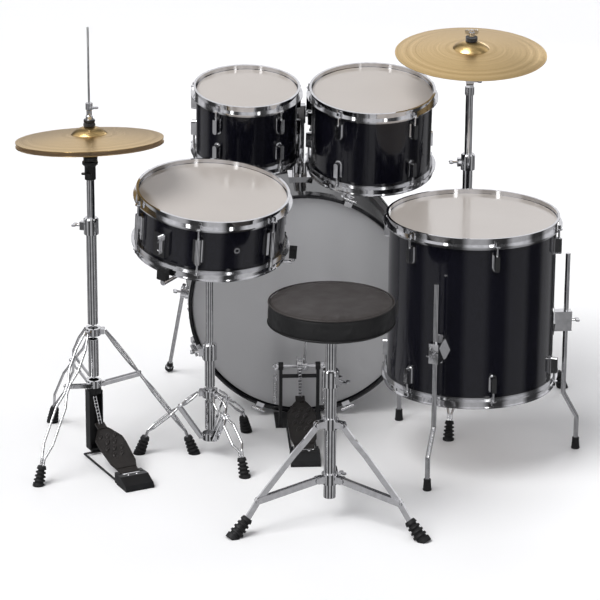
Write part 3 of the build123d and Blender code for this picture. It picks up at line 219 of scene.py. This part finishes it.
class Finish:
    def __init__(self, name, colour, roughness, metallic=0.0, **sockets):
        self.mat = bpy.data.materials.new(name)
        self.mat.use_nodes = True
        self.tree = self.mat.node_tree
        self.shader = self.tree.nodes["Principled BSDF"]
        self.set("Base Color", (*colour, 1))
        self.set("Roughness", roughness)
        self.set("Metallic", metallic)
        for key, value in sockets.items():
            self.set(key.replace("_", " "), value)
        self.place = self.tree.nodes.new("ShaderNodeTexCoord").outputs["Object"]

    def set(self, socket, value):
        self.shader.inputs[socket].default_value = value

    def node(self, kind, **values):
        made = self.tree.nodes.new("ShaderNode" + kind)
        for key, value in values.items():
            if hasattr(made, key):
                setattr(made, key, value)
            else:
                made.inputs[key.replace("_", " ")].default_value = value
        return made

    def link(self, start, end):
        self.tree.links.new(start, end)

    def noise(self, scale, detail=3.0, place=None):
        made = self.node("TexNoise", Scale=scale, Detail=detail)
        self.link(place or self.place, made.inputs["Vector"])
        return made.outputs["Fac"]

    def spread(self, value, low, high, fromLow=0.3, fromHigh=0.7):
        made = self.node("MapRange")
        ends = {"From Min": fromLow, "From Max": fromHigh, "To Min": low, "To Max": high}
        for socket, number in ends.items():
            made.inputs[socket].default_value = number
        self.link(value, made.inputs["Value"])
        return made.outputs["Result"]

    def roughen(self, value, low, high):
        self.link(self.spread(value, low, high), self.shader.inputs["Roughness"])

    def tint(self, value, dark, light, fromLow=0.3, fromHigh=0.7):
        ramp = self.node("ValToRGB")
        ramp.color_ramp.elements[0].position = fromLow
        ramp.color_ramp.elements[1].position = fromHigh
        ramp.color_ramp.elements[0].color = (*dark, 1)
        ramp.color_ramp.elements[1].color = (*light, 1)
        self.link(value, ramp.inputs["Fac"])
        self.link(ramp.outputs["Color"], self.shader.inputs["Base Color"])
        return ramp

    # Distance from a leaning axis through centre.
    def reach(self, centre, axis):
        away = self.node("VectorMath", operation="SUBTRACT")
        self.link(self.place, away.inputs[0])
        away.inputs[1].default_value = centre
        across = self.node("VectorMath", operation="CROSS_PRODUCT")
        self.link(away.outputs["Vector"], across.inputs[0])
        across.inputs[1].default_value = axis.normalized()
        length = self.node("VectorMath", operation="LENGTH")
        self.link(across.outputs["Vector"], length.inputs[0])
        return length.outputs["Value"]

    def bump(self, value, strength, distance):
        made = self.node("Bump", Strength=strength, Distance=distance)
        self.link(value, made.inputs["Height"])
        previous = self.shader.inputs["Normal"].links
        if previous:
            self.link(previous[0].from_socket, made.inputs["Normal"])
        self.link(made.outputs["Normal"], self.shader.inputs["Normal"])


def chromeFinish(name="polishedChrome", roughness=(0.04, 0.12)):
    made = Finish(name, (0.70, 0.70, 0.71), 0.07, 1.0)
    made.roughen(made.noise(38, 4), *roughness)
    made.bump(made.noise(9, 2), 0.02, 0.002)
    made.tint(made.noise(60, 3), (0.64, 0.64, 0.65), (0.76, 0.76, 0.77))
    return made.mat


def wrapFinish(name, colour):
    made = Finish(name, colour, 0.12, 0.0, Specular_IOR_Level=0.36, Coat_Weight=0.2, Coat_Roughness=0.02)
    made.roughen(made.noise(22, 5), 0.08, 0.16)
    made.bump(made.noise(14, 2), 0.015, 0.004)
    made.tint(made.noise(160, 2), colour, tuple(c * 1.8 + 0.001 for c in colour))
    return made.mat


# The membrane gives way to the head's metal flesh hoop outside its own radius.
def headFinish(name, dark, light, roughness, drum=None):
    made = Finish(name, light, 0.3, 0.0, Coat_Weight=0.3, Coat_Roughness=0.08)
    ramp = made.tint(made.noise(2.4, 3), dark, light, 0.2, 0.8)
    made.roughen(made.noise(55, 6), *roughness)
    made.bump(made.noise(900, 3), 0.05, 0.0005)
    made.bump(made.noise(4, 2), 0.03, 0.004)
    if drum:
        centre, axis, radius = drum
        away = made.reach(Vector(centre), Vector(axis))
        hoop = made.spread(away, 0, 1, radius - 0.0006, radius + 0.0002)
        made.link(hoop, made.shader.inputs["Metallic"])
        mix = made.node("Mix", data_type="RGBA")
        made.link(hoop, mix.inputs["Factor"])
        made.link(ramp.outputs["Color"], mix.inputs[6])
        mix.inputs[7].default_value = (0.50, 0.50, 0.51, 1)
        made.link(mix.outputs[2], made.shader.inputs["Base Color"])
    return made.mat


def rubberFinish(name="ribbedRubber"):
    made = Finish(name, (0.008, 0.008, 0.009), 0.6, 0.0, Specular_IOR_Level=0.35)
    made.tint(made.noise(120, 5), (0.005, 0.005, 0.0055), (0.012, 0.012, 0.013))
    made.roughen(made.noise(70, 4), 0.45, 0.7)
    made.bump(made.noise(420, 4), 0.18, 0.0008)
    return made.mat


# The seat's top panel is a duller brown than its side band.
def vinylFinish(name="grainedVinyl"):
    bandDrop, blur = 0.0055, 0.001
    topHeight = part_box("throne_seat")[1].z - bandDrop
    made = Finish(name, (0.020, 0.018, 0.018), 0.45, 0.0, Specular_IOR_Level=0.35)
    grain = made.node("TexVoronoi", feature="DISTANCE_TO_EDGE", Scale=420.0)
    made.link(made.place, grain.inputs["Vector"])
    made.bump(grain.outputs["Distance"], 0.30, 0.0009)
    made.bump(made.noise(55, 4), 0.08, 0.002)
    ramp = made.tint(made.noise(9, 4), (0.028, 0.023, 0.0215), (0.040, 0.034, 0.032))
    split = made.node("SeparateXYZ")
    made.link(made.place, split.inputs["Vector"])
    top = made.spread(split.outputs["Z"], 0, 1, topHeight - blur, topHeight + blur)
    mix = made.node("Mix", data_type="RGBA")
    made.link(top, mix.inputs["Factor"])
    made.link(ramp.outputs["Color"], mix.inputs[7])
    mix.inputs[6].default_value = (0.0085, 0.0085, 0.009, 1)
    made.link(mix.outputs[2], made.shader.inputs["Base Color"])
    made.roughen(made.noise(30, 5), 0.38, 0.54)
    return made.mat


def feltFinish(name, dark, light):
    made = Finish(name, light, 0.95, 0.0, Sheen_Weight=0.4, Sheen_Roughness=0.5)
    made.tint(made.noise(260, 6), dark, light)
    made.bump(made.noise(700, 6), 0.6, 0.0012)
    return made.mat


def paintFinish(name, dark, light, roughness=(0.28, 0.42)):
    made = Finish(name, light, 0.35, 0.0, Specular_IOR_Level=0.4)
    made.tint(made.noise(60, 5), dark, light)
    made.roughen(made.noise(35, 5), *roughness)
    made.bump(made.noise(650, 2), 0.10, 0.0005)
    return made.mat


def wireFinish(name="brightWire"):
    made = Finish(name, (0.55, 0.55, 0.57), 0.25, 1.0)
    made.roughen(made.noise(300, 3), 0.18, 0.34)
    return made.mat


# Lathe rings run round the cymbal's own axis, which leans with it.
def cymbalFinish(name, centre, axis):
    made = Finish(name, (0.74, 0.53, 0.24), 0.26, 1.0)
    reach = made.reach(centre, axis)
    rings = made.node("TexNoise", noise_dimensions="1D", Scale=1100.0, Detail=4.0, Roughness=0.7)
    made.link(reach, rings.inputs["W"])
    broad = made.node("TexNoise", noise_dimensions="1D", Scale=90.0, Detail=3.0)
    made.link(reach, broad.inputs["W"])
    made.bump(rings.outputs["Fac"], 0.30, 0.0004)
    made.bump(broad.outputs["Fac"], 0.10, 0.0008)
    made.tint(broad.outputs["Fac"], (0.60, 0.41, 0.17), (0.74, 0.53, 0.25), 0.3, 0.7)
    made.roughen(rings.outputs["Fac"], 0.22, 0.36)
    return made.mat


finishes = {
    "shell_black": wrapFinish("glossBlackWrap", (0.003, 0.003, 0.0055)),
    "bass_hoop_black": wrapFinish("blackLacquer", (0.004, 0.004, 0.005)),
    "bass_head_grey": headFinish(
        "smokyHead", (0.40, 0.40, 0.41), (0.47, 0.47, 0.48), (0.16, 0.26)
    ),
    "chrome": chromeFinish(),
    "steel_wire": wireFinish(),
    "rubber": rubberFinish(),
    "seat_vinyl": vinylFinish(),
    "felt_black": feltFinish("blackFelt", (0.006, 0.006, 0.007), (0.018, 0.018, 0.020)),
    "plastic_black": paintFinish("blackPlastic", (0.006, 0.006, 0.007), (0.012, 0.012, 0.013)),
    "pedal_black": paintFinish("blackPowderCoat", (0.005, 0.005, 0.006), (0.010, 0.010, 0.011)),
    "footboard_black": paintFinish(
        "brownBlackPaint", (0.013, 0.011, 0.010), (0.022, 0.019, 0.018), (0.26, 0.40)
    ),
    "beater_felt": feltFinish("paleFelt", (0.50, 0.48, 0.44), (0.68, 0.66, 0.61)),
}

# where the top of each drum is: a point on its axis, the axis and the shell's radius
drums = {
    "tom_1_heads": ((-0.1395, 0.1085, 0.834), (0.005, -0.162, 1.0), 0.127),
    "tom_2_heads": ((0.178, 0.113, 0.824), (0.0, -0.169, 1.0), 0.1524),
    "snare_heads": ((-0.247, -0.262, 0.508), (0.053, -0.144, 1.0), 0.1778),
    "floor_tom_heads": ((0.392, -0.280, 0.610), (0.0, 0.0, 1.0), 0.2032),
}

# each cymbal's own axis
cymbals = {
    "crash_cymbal": (0.0, -0.115, 1.0),
    "hihat_top_cymbal": (-0.029, 0.105, 1.0),
    "hihat_bottom_cymbal": (-0.029, 0.105, 1.0),
}
headShades = ((0.46, 0.42, 0.385), (0.54, 0.495, 0.46), (0.10, 0.18))
slotOf = {part["node"]: part["material_slot"] for part in frame["record"]["subparts"]}


def paint(obj, mat):
    obj.data.materials.clear()
    obj.data.materials.append(mat)


def paintFrame():
    for name, obj in nodes.items():
        if name in cymbals:
            low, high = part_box(name)
            axis = Vector(cymbals[name]).normalized()
            paint(obj, cymbalFinish(name + "Lathed", (low + high) / 2, axis))
        elif name in drums:
            paint(obj, headFinish(name + "Coated", *headShades, drum=drums[name]))
        else:
            paint(obj, finishes[slotOf[name]])


paintFrame()
print("frame painted")


mm = 0.001


def frameAt(origin, up, across=(1, 0, 0)):
    z = Vector(up).normalized()
    y = z.cross(Vector(across)).normalized()
    x = y.cross(z).normalized()
    turned = Matrix((x, y, z)).transposed().to_4x4()
    return Matrix.Translation(Vector(origin)) @ turned


def finishPiece(name, bm, place, slot, body, mat=None, sharp=38):
    bmesh.ops.remove_doubles(bm, verts=bm.verts, dist=1e-7)
    bmesh.ops.recalc_face_normals(bm, faces=bm.faces)
    bmesh.ops.transform(bm, matrix=place, verts=bm.verts)
    obj = meshObject(name, bm)
    obj.data.shade_smooth()
    obj.data.set_sharp_from_angle(angle=radians(sharp))
    paint(obj, mat or finishes[slot])
    if body:
        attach(obj, body)
    return obj


# Turns a profile of (radius, height) in millimetres round the upright axis.
def lathe(bm, profile, steps, closed=False):
    verts = [bm.verts.new((r * mm, 0, z * mm)) for r, z in profile]
    pairs = zip(verts, verts[1:] + verts[:1]) if closed else zip(verts, verts[1:])
    edges = [bm.edges.new(pair) for pair in pairs]
    bmesh.ops.spin(
        bm, geom=verts + edges, angle=2 * pi, steps=steps, axis=(0, 0, 1), use_merge=True
    )
    onAxis = [v for v in bm.verts if Vector((v.co.x, v.co.y)).length < 1e-7]
    bmesh.ops.remove_doubles(bm, verts=onAxis, dist=1e-6)


def ringProfile(radius, size, height=0.0, sides=10):
    angles = [2 * pi * k / sides for k in range(sides)]
    return [(radius + size * cos(a), height + size * sin(a)) for a in angles]


# Puts a piece made at the origin into its place.
def setPlace(bm, verts, *steps):
    matrix = Matrix.Identity(4)
    for step in steps:
        matrix = matrix @ step
    bmesh.ops.transform(bm, matrix=matrix, verts=verts)


def moved(x, y, z):
    return Matrix.Translation((x * mm, y * mm, z * mm))


def scaled(x, y, z):
    return Matrix.Diagonal((x, y, z, 1))


# The outline's radii are counted inward from the seat's own radius, and its upper heights
# downward from the seat's top.
cushion = {
    "voxel": 5.0,
    "pressure": 3.0,
    "frames": 20,
    "heldBelow": 6.0,
    "limit": 1.8,
    "fill": 0.9,
    "lowOutline": ((14, 1), (5, 4), (2, 12)),
    "highOutline": ((1.5, 22), (2, 10), (4, 5), (10, 2), (40, 0.5)),
    "topPiping": {"drop": 5.0, "size": 2.0},
    "lowPiping": {"height": 9.0, "size": 1.6},
    "pipingSink": 0.2,
    "pipingNear": 6,
    "boardOutline": ((22, -0.5), (20, 0.8), (21, 2.2)),
    "boardScrews": 4,
    "screwReach": 95.0,
    "screw": (3.0, 4.5, 2.0),
}


def puff(obj, floorHeight):
    even = obj.modifiers.new("even", "REMESH")
    even.mode = "VOXEL"
    even.voxel_size = cushion["voxel"] * mm
    bakeModifiers(obj)
    held = obj.vertex_groups.new(name="held")
    heldBelow = floorHeight + cushion["heldBelow"] * mm
    held.add([v.index for v in obj.data.vertices if v.co.z < heldBelow], 1.0, "REPLACE")
    cloth = obj.modifiers.new("fill", "CLOTH")
    cloth.settings.use_pressure = True
    cloth.settings.uniform_pressure_force = cushion["pressure"]
    cloth.settings.effector_weights.gravity = 0
    cloth.settings.vertex_group_mass = "held"
    scene = bpy.context.scene
    for step in range(1, cushion["frames"] + 1):
        scene.frame_set(step)
    puffed = obj.evaluated_get(bpy.context.evaluated_depsgraph_get()).to_mesh()
    limit = cushion["limit"] * mm
    targets = [v.co.copy() for v in puffed.vertices]
    obj.modifiers.remove(cloth)
    scene.frame_set(1)
    for vertex, target in zip(obj.data.vertices, targets):
        step = target - vertex.co
        vertex.co += step * min(1, limit / max(step.length, 1e-9))
    obj.vertex_groups.clear()


def bakeModifiers(obj):
    mesh = bpy.data.meshes.new_from_object(obj.evaluated_get(bpy.context.evaluated_depsgraph_get()))
    obj.modifiers.clear()
    obj.data = mesh


def addCushion():
    low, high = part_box("throne_seat")
    middle = (low + high) / 2
    radius = (high.x - low.x) / 2 / mm
    tall = (high.z - low.z) / mm
    profile = [(0, 1)] + [(radius - inward, up) for inward, up in cushion["lowOutline"]]
    profile += [(radius - inward, tall - down) for inward, down in cushion["highOutline"]]
    profile.append((0, tall))
    place = Matrix.Translation((middle.x, middle.y, low.z))
    bm = bmesh.new()
    lathe(bm, profile, 72)
    pad = finishPiece("throneCushion", bm, place, "seat_vinyl", None, sharp=80)
    puff(pad, low.z)
    paint(pad, finishes["seat_vinyl"])
    pad.data.shade_smooth()
    smooth = pad.modifiers.new("smooth", "SUBSURF")
    smooth.levels = smooth.render_levels = 1
    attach(pad, "seat")
    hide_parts("throne_seat")
    top, bottom = cushion["topPiping"], cushion["lowPiping"]
    pipings = (
        ("throneTopPiping", tall - top["drop"], top["size"]),
        ("throneLowPiping", bottom["height"], bottom["size"]),
    )
    for name, height, size in pipings:
        near = [
            Vector((v.co.x - middle.x, v.co.y - middle.y)).length / mm for v in pad.data.vertices
            if abs((v.co.z - low.z) / mm - height) < cushion["pipingNear"]
        ]
        bm = bmesh.new()
        lathe(bm, ringProfile(max(near) - cushion["pipingSink"], size, height), 96, closed=True)
        finishPiece(name, bm, place, "seat_vinyl", "seat")
    bm = bmesh.new()
    board = [(radius - inward, height) for inward, height in cushion["boardOutline"]]
    lathe(bm, [(0, board[0][1])] + board + [(0, board[-1][1])], 64)
    narrow, wide, deep = (size * mm for size in cushion["screw"])
    for k in range(cushion["boardScrews"]):
        turn = Matrix.Rotation(radians(45 + k * 360 / cushion["boardScrews"]), 4, "Z")
        head = bmesh.ops.create_cone(
            bm, cap_ends=True, segments=12, radius1=narrow, radius2=wide, depth=deep
        )
        setPlace(bm, head["verts"], turn, moved(cushion["screwReach"], 0, -0.5))
    finishPiece("throneSeatBoard", bm, place, "plastic_black", "seat")


addCushion()
print("cushion done")

# Rubber feet of the floor tom's legs and of the bass drum's spurs, in millimetres.
tips = {
    "floorTomAt": (392.0, -280.0),
    "legReach": 274.0,
    "legAngles": (2.9, 122.9, 242.9),
    "footOutline": (
        (0, 0.1), (9.9, 0.1), (10.7, 1.2), (10.8, 3.4), (10.1, 5.0), (9.9, 7.2),
        (9.1, 18), (8.7, 25), (9.0, 26), (8.8, 28.4), (8.1, 29.4), (6.3, 29.8),
    ),
    "spurOutline": (
        (0, -9.6), (6.4, -9.4), (11.5, -4.2), (11.5, 3.2), (8.4, 6.5),
        (7.6, 10.0), (8.6, 12.0), (7.4, 17.3), (5.2, 17.6),
    ),
    "spurPivotReach": 303.4,
    "spurPivotAngle": 7.0,
    "spurPivotDepth": 232.0,
    "bassAxisHeight": 295.6,
    "spurFoot": (337.0, 337.0, 11.0),
    "flatAt": 0.1,
}


def addTips():
    x, y = tips["floorTomAt"]
    for number, angle in enumerate(tips["legAngles"], 1):
        turn = radians(angle)
        bm = bmesh.new()
        lathe(bm, tips["footOutline"], 32)
        place = moved(x + cos(turn) * tips["legReach"], y + sin(turn) * tips["legReach"], 0)
        finishPiece(f"floorTomFoot{number}", bm, place, "rubber", f"floor_leg_{number}")
    angle, reach = radians(tips["spurPivotAngle"]), tips["spurPivotReach"]
    pivotHeight = tips["bassAxisHeight"] - reach * sin(angle)
    for side, hand in ((-1, "left"), (1, "right")):
        pivot = Vector((side * reach * cos(angle), tips["spurPivotDepth"], pivotHeight))
        foot = Vector((side * tips["spurFoot"][0], *tips["spurFoot"][1:]))
        bm = bmesh.new()
        lathe(bm, tips["spurOutline"], 32)
        bmesh.ops.transform(bm, matrix=frameAt(foot * mm, pivot - foot), verts=bm.verts)
        # the ball is worn flat where it stands on the floor
        cut = bmesh.ops.bisect_plane(
            bm, geom=bm.verts[:] + bm.edges[:] + bm.faces[:],
            plane_co=(0, 0, tips["flatAt"] * mm), plane_no=(0, 0, 1), clear_inner=True,
        )
        rim = [e for e in cut["geom_cut"] if isinstance(e, bmesh.types.BMEdge)]
        bmesh.ops.holes_fill(bm, edges=rim)
        finishPiece(f"bassSpurTip_{hand}", bm, Matrix.Identity(4), "rubber", f"spur_{hand}")


addTips()
print("tips done")

# Places are in metres, sizes of details in millimetres.
pedals = {
    "bass": {
        "post": (-0.015, 0.0),
        "turn": 0.0,
        "reach": 296.0,
        "length": 198.0,
        "board": "bass_pedal",
    },
    "hihat": {
        "post": (-0.532, -0.243),
        "turn": 23.8,
        "reach": 206.0,
        "length": 190.0,
        "board": "hihat_pedal",
    },
    "hingeHeight": 21.0,
    "pitch": 20.0,
    "width": 74.0,
    "thickness": 5.0,
}
# A tread is a bean-shaped boss, turned with a radius of one and then stretched.
treads = {
    "outline": ((1.06, -0.5), (1.0, 0.25), (0.86, 0.75), (0.62, 1.0), (0.35, 0.86), (0, 0.8)),
    "size": (10.5, 5.0, 2.6),
    "turn": 60,
    "rows": (2, 3, 2, 3),
    "gap": 19.0,
    "firstRow": 0.36,
    "rowStep": 0.12,
}
# The heel is inward from the side and up from the hinge, the sides are inward and a share of
# the length, and the toe is out from the middle and back from the tip.
boardRim = {
    "heel": (12.5, 16),
    "sides": ((4.6, 0.2), (0.6, 0.55), (1.6, 0.675)),
    "toe": ((18.2, 31), (11.6, 22)),
    "wide": 2.4,
    "tall": 1.4,
    "sink": 0.6,
}
heel = {
    "screwAt": (11, 22, 25.2),
    "screw": (3.4, 3.4, 1.9),
    "stripAt": (12, 25.4),
    "strip": (46, 5.5, 1.3),
    "stripEdge": 0.5,
}


def boardPlace(pedal):
    ground = Matrix.Translation((*pedal["post"], 0)) @ Matrix.Rotation(radians(pedal["turn"]), 4, "Z")
    hinge = moved(0, -pedal["reach"], pedals["hingeHeight"])
    return ground, ground @ hinge @ Matrix.Rotation(radians(pedals["pitch"]), 4, "X")


def addTreads(name, pedal, board):
    bm = bmesh.new()
    turn = Matrix.Rotation(radians(treads["turn"]), 4, "Z")
    for row, count in enumerate(treads["rows"]):
        along = pedal["length"] * (treads["firstRow"] + treads["rowStep"] * row)
        for k in range(count):
            old = set(bm.verts)
            lathe(bm, treads["outline"], 20)
            boss = [v for v in bm.verts if v not in old]
            spot = moved((k - (count - 1) / 2) * treads["gap"], along, pedals["thickness"])
            setPlace(bm, boss, spot, turn, scaled(*treads["size"]))
    finishPiece(name + "Treads", bm, board, "footboard_black", pedal["board"])


# A raised rim just inside the board's edge.
def addBoardRim(name, pedal, board):
    length, half = pedal["length"], pedals["width"] / 2
    edge = [(half - boardRim["heel"][0], boardRim["heel"][1])]
    edge += [(half - inward, length * share) for inward, share in boardRim["sides"]]
    edge += [(out, length - back) for out, back in boardRim["toe"]]
    outline = edge + [(-x, y) for x, y in reversed(edge)]
    inside = []
    for k, (x, y) in enumerate(outline):
        before, after = outline[k - 1], outline[(k + 1) % len(outline)]
        across = Vector((before[1] - after[1], after[0] - before[0])).normalized()
        across *= boardRim["wide"]
        inside.append((x + across.x, y + across.y))
    low, high = pedals["thickness"] - boardRim["sink"], pedals["thickness"] + boardRim["tall"]
    bm = bmesh.new()
    loops = ((outline, low), (outline, high), (inside, high), (inside, low))
    rows = [[bm.verts.new((x * mm, y * mm, z * mm)) for x, y in loop] for loop, z in loops]
    for one, other in zip(rows, rows[1:] + rows[:1]):
        for k in range(len(outline)):
            bm.faces.new((one[k - 1], one[k], other[k], other[k - 1]))
    finishPiece(name + "BoardRim", bm, board, "footboard_black", pedal["board"])


# Pan-head screws and the hinge strip on the heel plate.
def addHeel(name, pedal, ground):
    bm = bmesh.new()
    x, back, height = heel["screwAt"]
    size = [side * mm for side in heel["screw"]]
    for side in (-1, 1):
        head = bmesh.ops.create_uvsphere(bm, u_segments=16, v_segments=8, radius=1)["verts"]
        setPlace(bm, head, moved(side * x, -(pedal["reach"] + back), height), scaled(*size))
    finishPiece(name + "HeelScrews", bm, ground, "chrome", "kit")
    bm = bmesh.new()
    strip = bmesh.ops.create_cube(bm, size=1)["verts"]
    back, height = heel["stripAt"]
    size = [side * mm for side in heel["strip"]]
    setPlace(bm, strip, moved(0, -(pedal["reach"] + back), height), scaled(*size))
    bmesh.ops.bevel(
        bm, geom=bm.edges[:], offset=heel["stripEdge"] * mm, segments=2, profile=0.5,
        affect="EDGES", material=-1,
    )
    finishPiece(name + "HeelStrip", bm, ground, "chrome", "kit")


chains = {
    "linkPitch": 8.0,
    "plateWide": 0.9,
    "stagger": 0.45,
    "rollerRadius": 2.1,
    "rollerPast": 1.1,
    "run": {"spread": 3.1, "tall": 5.2, "overlap": 1.55},
    "bend": {"spread": 5.6, "tall": 5.0, "overlap": 1.5},
    "sprocketAt": (-0.015, -0.080, 0.162),
    "sprocketRadius": 0.0217,
    "sprocketLinks": 9,
    "sprocketFirst": 172,
    "sprocketStep": 19,
    "bassTop": (-0.015, -0.1017, 0.162),
    "bassLow": (-0.015, -0.11811, 0.0936),
    "hihatTop": (-0.532, -0.243, 0.156),
    "hihatLow": (-0.51762, -0.27560, 0.09089),
}


# The two side plates of one link; every other link is a little wider.
def addPlates(bm, base, middle, pitch, style, number):
    out = style["spread"] + (chains["stagger"] if number % 2 else 0.0)
    size = scaled(chains["plateWide"] * mm, style["tall"] * mm, pitch * style["overlap"])
    for side in (-1, 1):
        plate = bmesh.ops.create_cube(bm, size=1)["verts"]
        setPlace(bm, plate, base, Matrix.Translation((side * out * mm, 0, middle)), size)


def chainRun(bm, top, low):
    run = low - top
    count = max(2, round(run.length / (chains["linkPitch"] * mm)))
    pitch = run.length / count
    base = frameAt(top, run)
    lying = Matrix.Rotation(radians(90), 4, "Y")
    radius, past = chains["rollerRadius"] * mm, chains["rollerPast"]
    for k in range(count):
        addPlates(bm, base, (k + 0.5) * pitch, pitch, chains["run"], k)
        roller = bmesh.ops.create_cone(
            bm, cap_ends=True, segments=10, radius1=radius, radius2=radius,
            depth=2 * (chains["run"]["spread"] + past) * mm,
        )
        setPlace(bm, roller["verts"], base, Matrix.Translation((0, 0, k * pitch)), lying)


# The run to the pedal's toe.
def addBassChain():
    top, low = Vector(chains["bassTop"]), Vector(chains["bassLow"])
    bm = bmesh.new()
    chainRun(bm, top, low)
    run = finishPiece("bassPedalChain", bm, Matrix.Identity(4), "chrome", None, sharp=30)
    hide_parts("pedal_chains")
    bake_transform(run)


# The run that lies on the sprocket and turns with it.
def addSprocketChain():
    middle, radius = Vector(chains["sprocketAt"]), chains["sprocketRadius"]
    bm = bmesh.new()
    for k in range(chains["sprocketLinks"]):
        ends = []
        for step in (k, k + 1):
            angle = radians(chains["sprocketFirst"] - step * chains["sprocketStep"])
            ends.append(middle + Vector((0, cos(angle), sin(angle))) * radius)
        link = ends[1] - ends[0]
        addPlates(bm, frameAt(ends[0], link), 0.5 * link.length, link.length, chains["bend"], k)
    finishPiece("sprocketChain", bm, Matrix.Identity(4), "chrome", "beater", sharp=30)


def addHihatChain():
    bm = bmesh.new()
    chainRun(bm, Vector(chains["hihatTop"]), Vector(chains["hihatLow"]))
    run = finishPiece("hihatChain", bm, Matrix.Identity(4), "chrome", "hihat_pull_rod", sharp=30)
    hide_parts("pedal_chains")


springs = {
    "middle": -0.015,
    "spread": 0.0615,
    "low": (-0.081, 0.062),
    "top": (-0.094, 0.146),
    "turns": 15,
    "stepsPerTurn": 14,
    "coilPart": (0.16, 0.84),
    "coilRadius": 4.7,
    "wire": 0.95,
    "eyeRadius": 4.2,
    "eyeReach": 0.006,
    "eyeStretch": 1.4,
}


def addSpring(side, hand):
    x = springs["middle"] + side * springs["spread"]
    low, top = Vector((x, *springs["low"])), Vector((x, *springs["top"]))
    rise = (top - low).length
    coilLow, coilHigh = (share * rise for share in springs["coilPart"])
    bm = bmesh.new()
    ring = bmesh.ops.create_circle(bm, segments=6, radius=springs["wire"] * mm)["verts"]
    bmesh.ops.rotate(bm, verts=ring, matrix=Matrix.Rotation(radians(90), 3, "X"))
    bmesh.ops.translate(bm, verts=ring, vec=(springs["coilRadius"] * mm, 0, coilLow))
    edges = list({e for v in ring for e in v.link_edges})
    steps = springs["turns"] * springs["stepsPerTurn"]
    bmesh.ops.spin(
        bm, geom=ring + edges, angle=2 * pi * springs["turns"], steps=steps, axis=(0, 0, 1),
        dvec=(0, 0, (coilHigh - coilLow) / steps),
    )
    bmesh.ops.holes_fill(bm, edges=[e for e in bm.edges if e.is_boundary], sides=0)
    reach = springs["eyeReach"]
    upright = Matrix.Rotation(radians(90), 4, "X")
    for height in (reach, rise - reach):
        old = set(bm.verts)
        lathe(bm, ringProfile(springs["eyeRadius"], springs["wire"], sides=6), 18, closed=True)
        eye = [v for v in bm.verts if v not in old]
        stretch = scaled(1, springs["eyeStretch"], 1)
        setPlace(bm, eye, Matrix.Translation((0, 0, height)), upright, stretch)
    place = frameAt(low, top - low)
    spring = finishPiece("bassPedalSpring" + hand, bm, place, "chrome", None, sharp=70)
    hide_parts("pedal_springs")
    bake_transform(spring)


clutch = {
    "lean": (-0.029, 0.105, 1.0),
    "post": (-0.532, -0.243),
    "bellTop": 0.839,
    "felt": ((5.0, 0.6), (13.2, 0.2), (14.4, 1.6), (14.6, 4.4), (14.2, 7.2), (12.8, 9.0), (5.0, 9.2)),
    "collar": ((5.0, 10.6), (12.6, 10.4), (13.6, 11.6), (13.6, 16.4), (12.6, 17.6), (5.0, 17.8)),
}


# The felt leans with the cymbal and the collar stands upright on the rod.
def addClutchFelts():
    base = Matrix.Translation((*clutch["post"], clutch["bellTop"]))
    bm = bmesh.new()
    lathe(bm, clutch["felt"], 36, closed=True)
    place = base @ frameAt((0, 0, 0), clutch["lean"])
    finishPiece("clutchFelt", bm, place, "felt_black", "hihat_top")
    bm = bmesh.new()
    lathe(bm, clutch["collar"], 36, closed=True)
    finishPiece("clutchCollar", bm, base, "plastic_black", "hihat_top")


addClutchFelts()
for name in ("bass", "hihat"):
    ground, board = boardPlace(pedals[name])
    addTreads(name, pedals[name], board)
    addBoardRim(name, pedals[name], board)
    addHeel(name, pedals[name], ground)
addBassChain()
addSprocketChain()
addHihatChain()
for side, hand in ((-1, "Left"), (1, "Right")):
    addSpring(side, hand)
print("pedal details done")
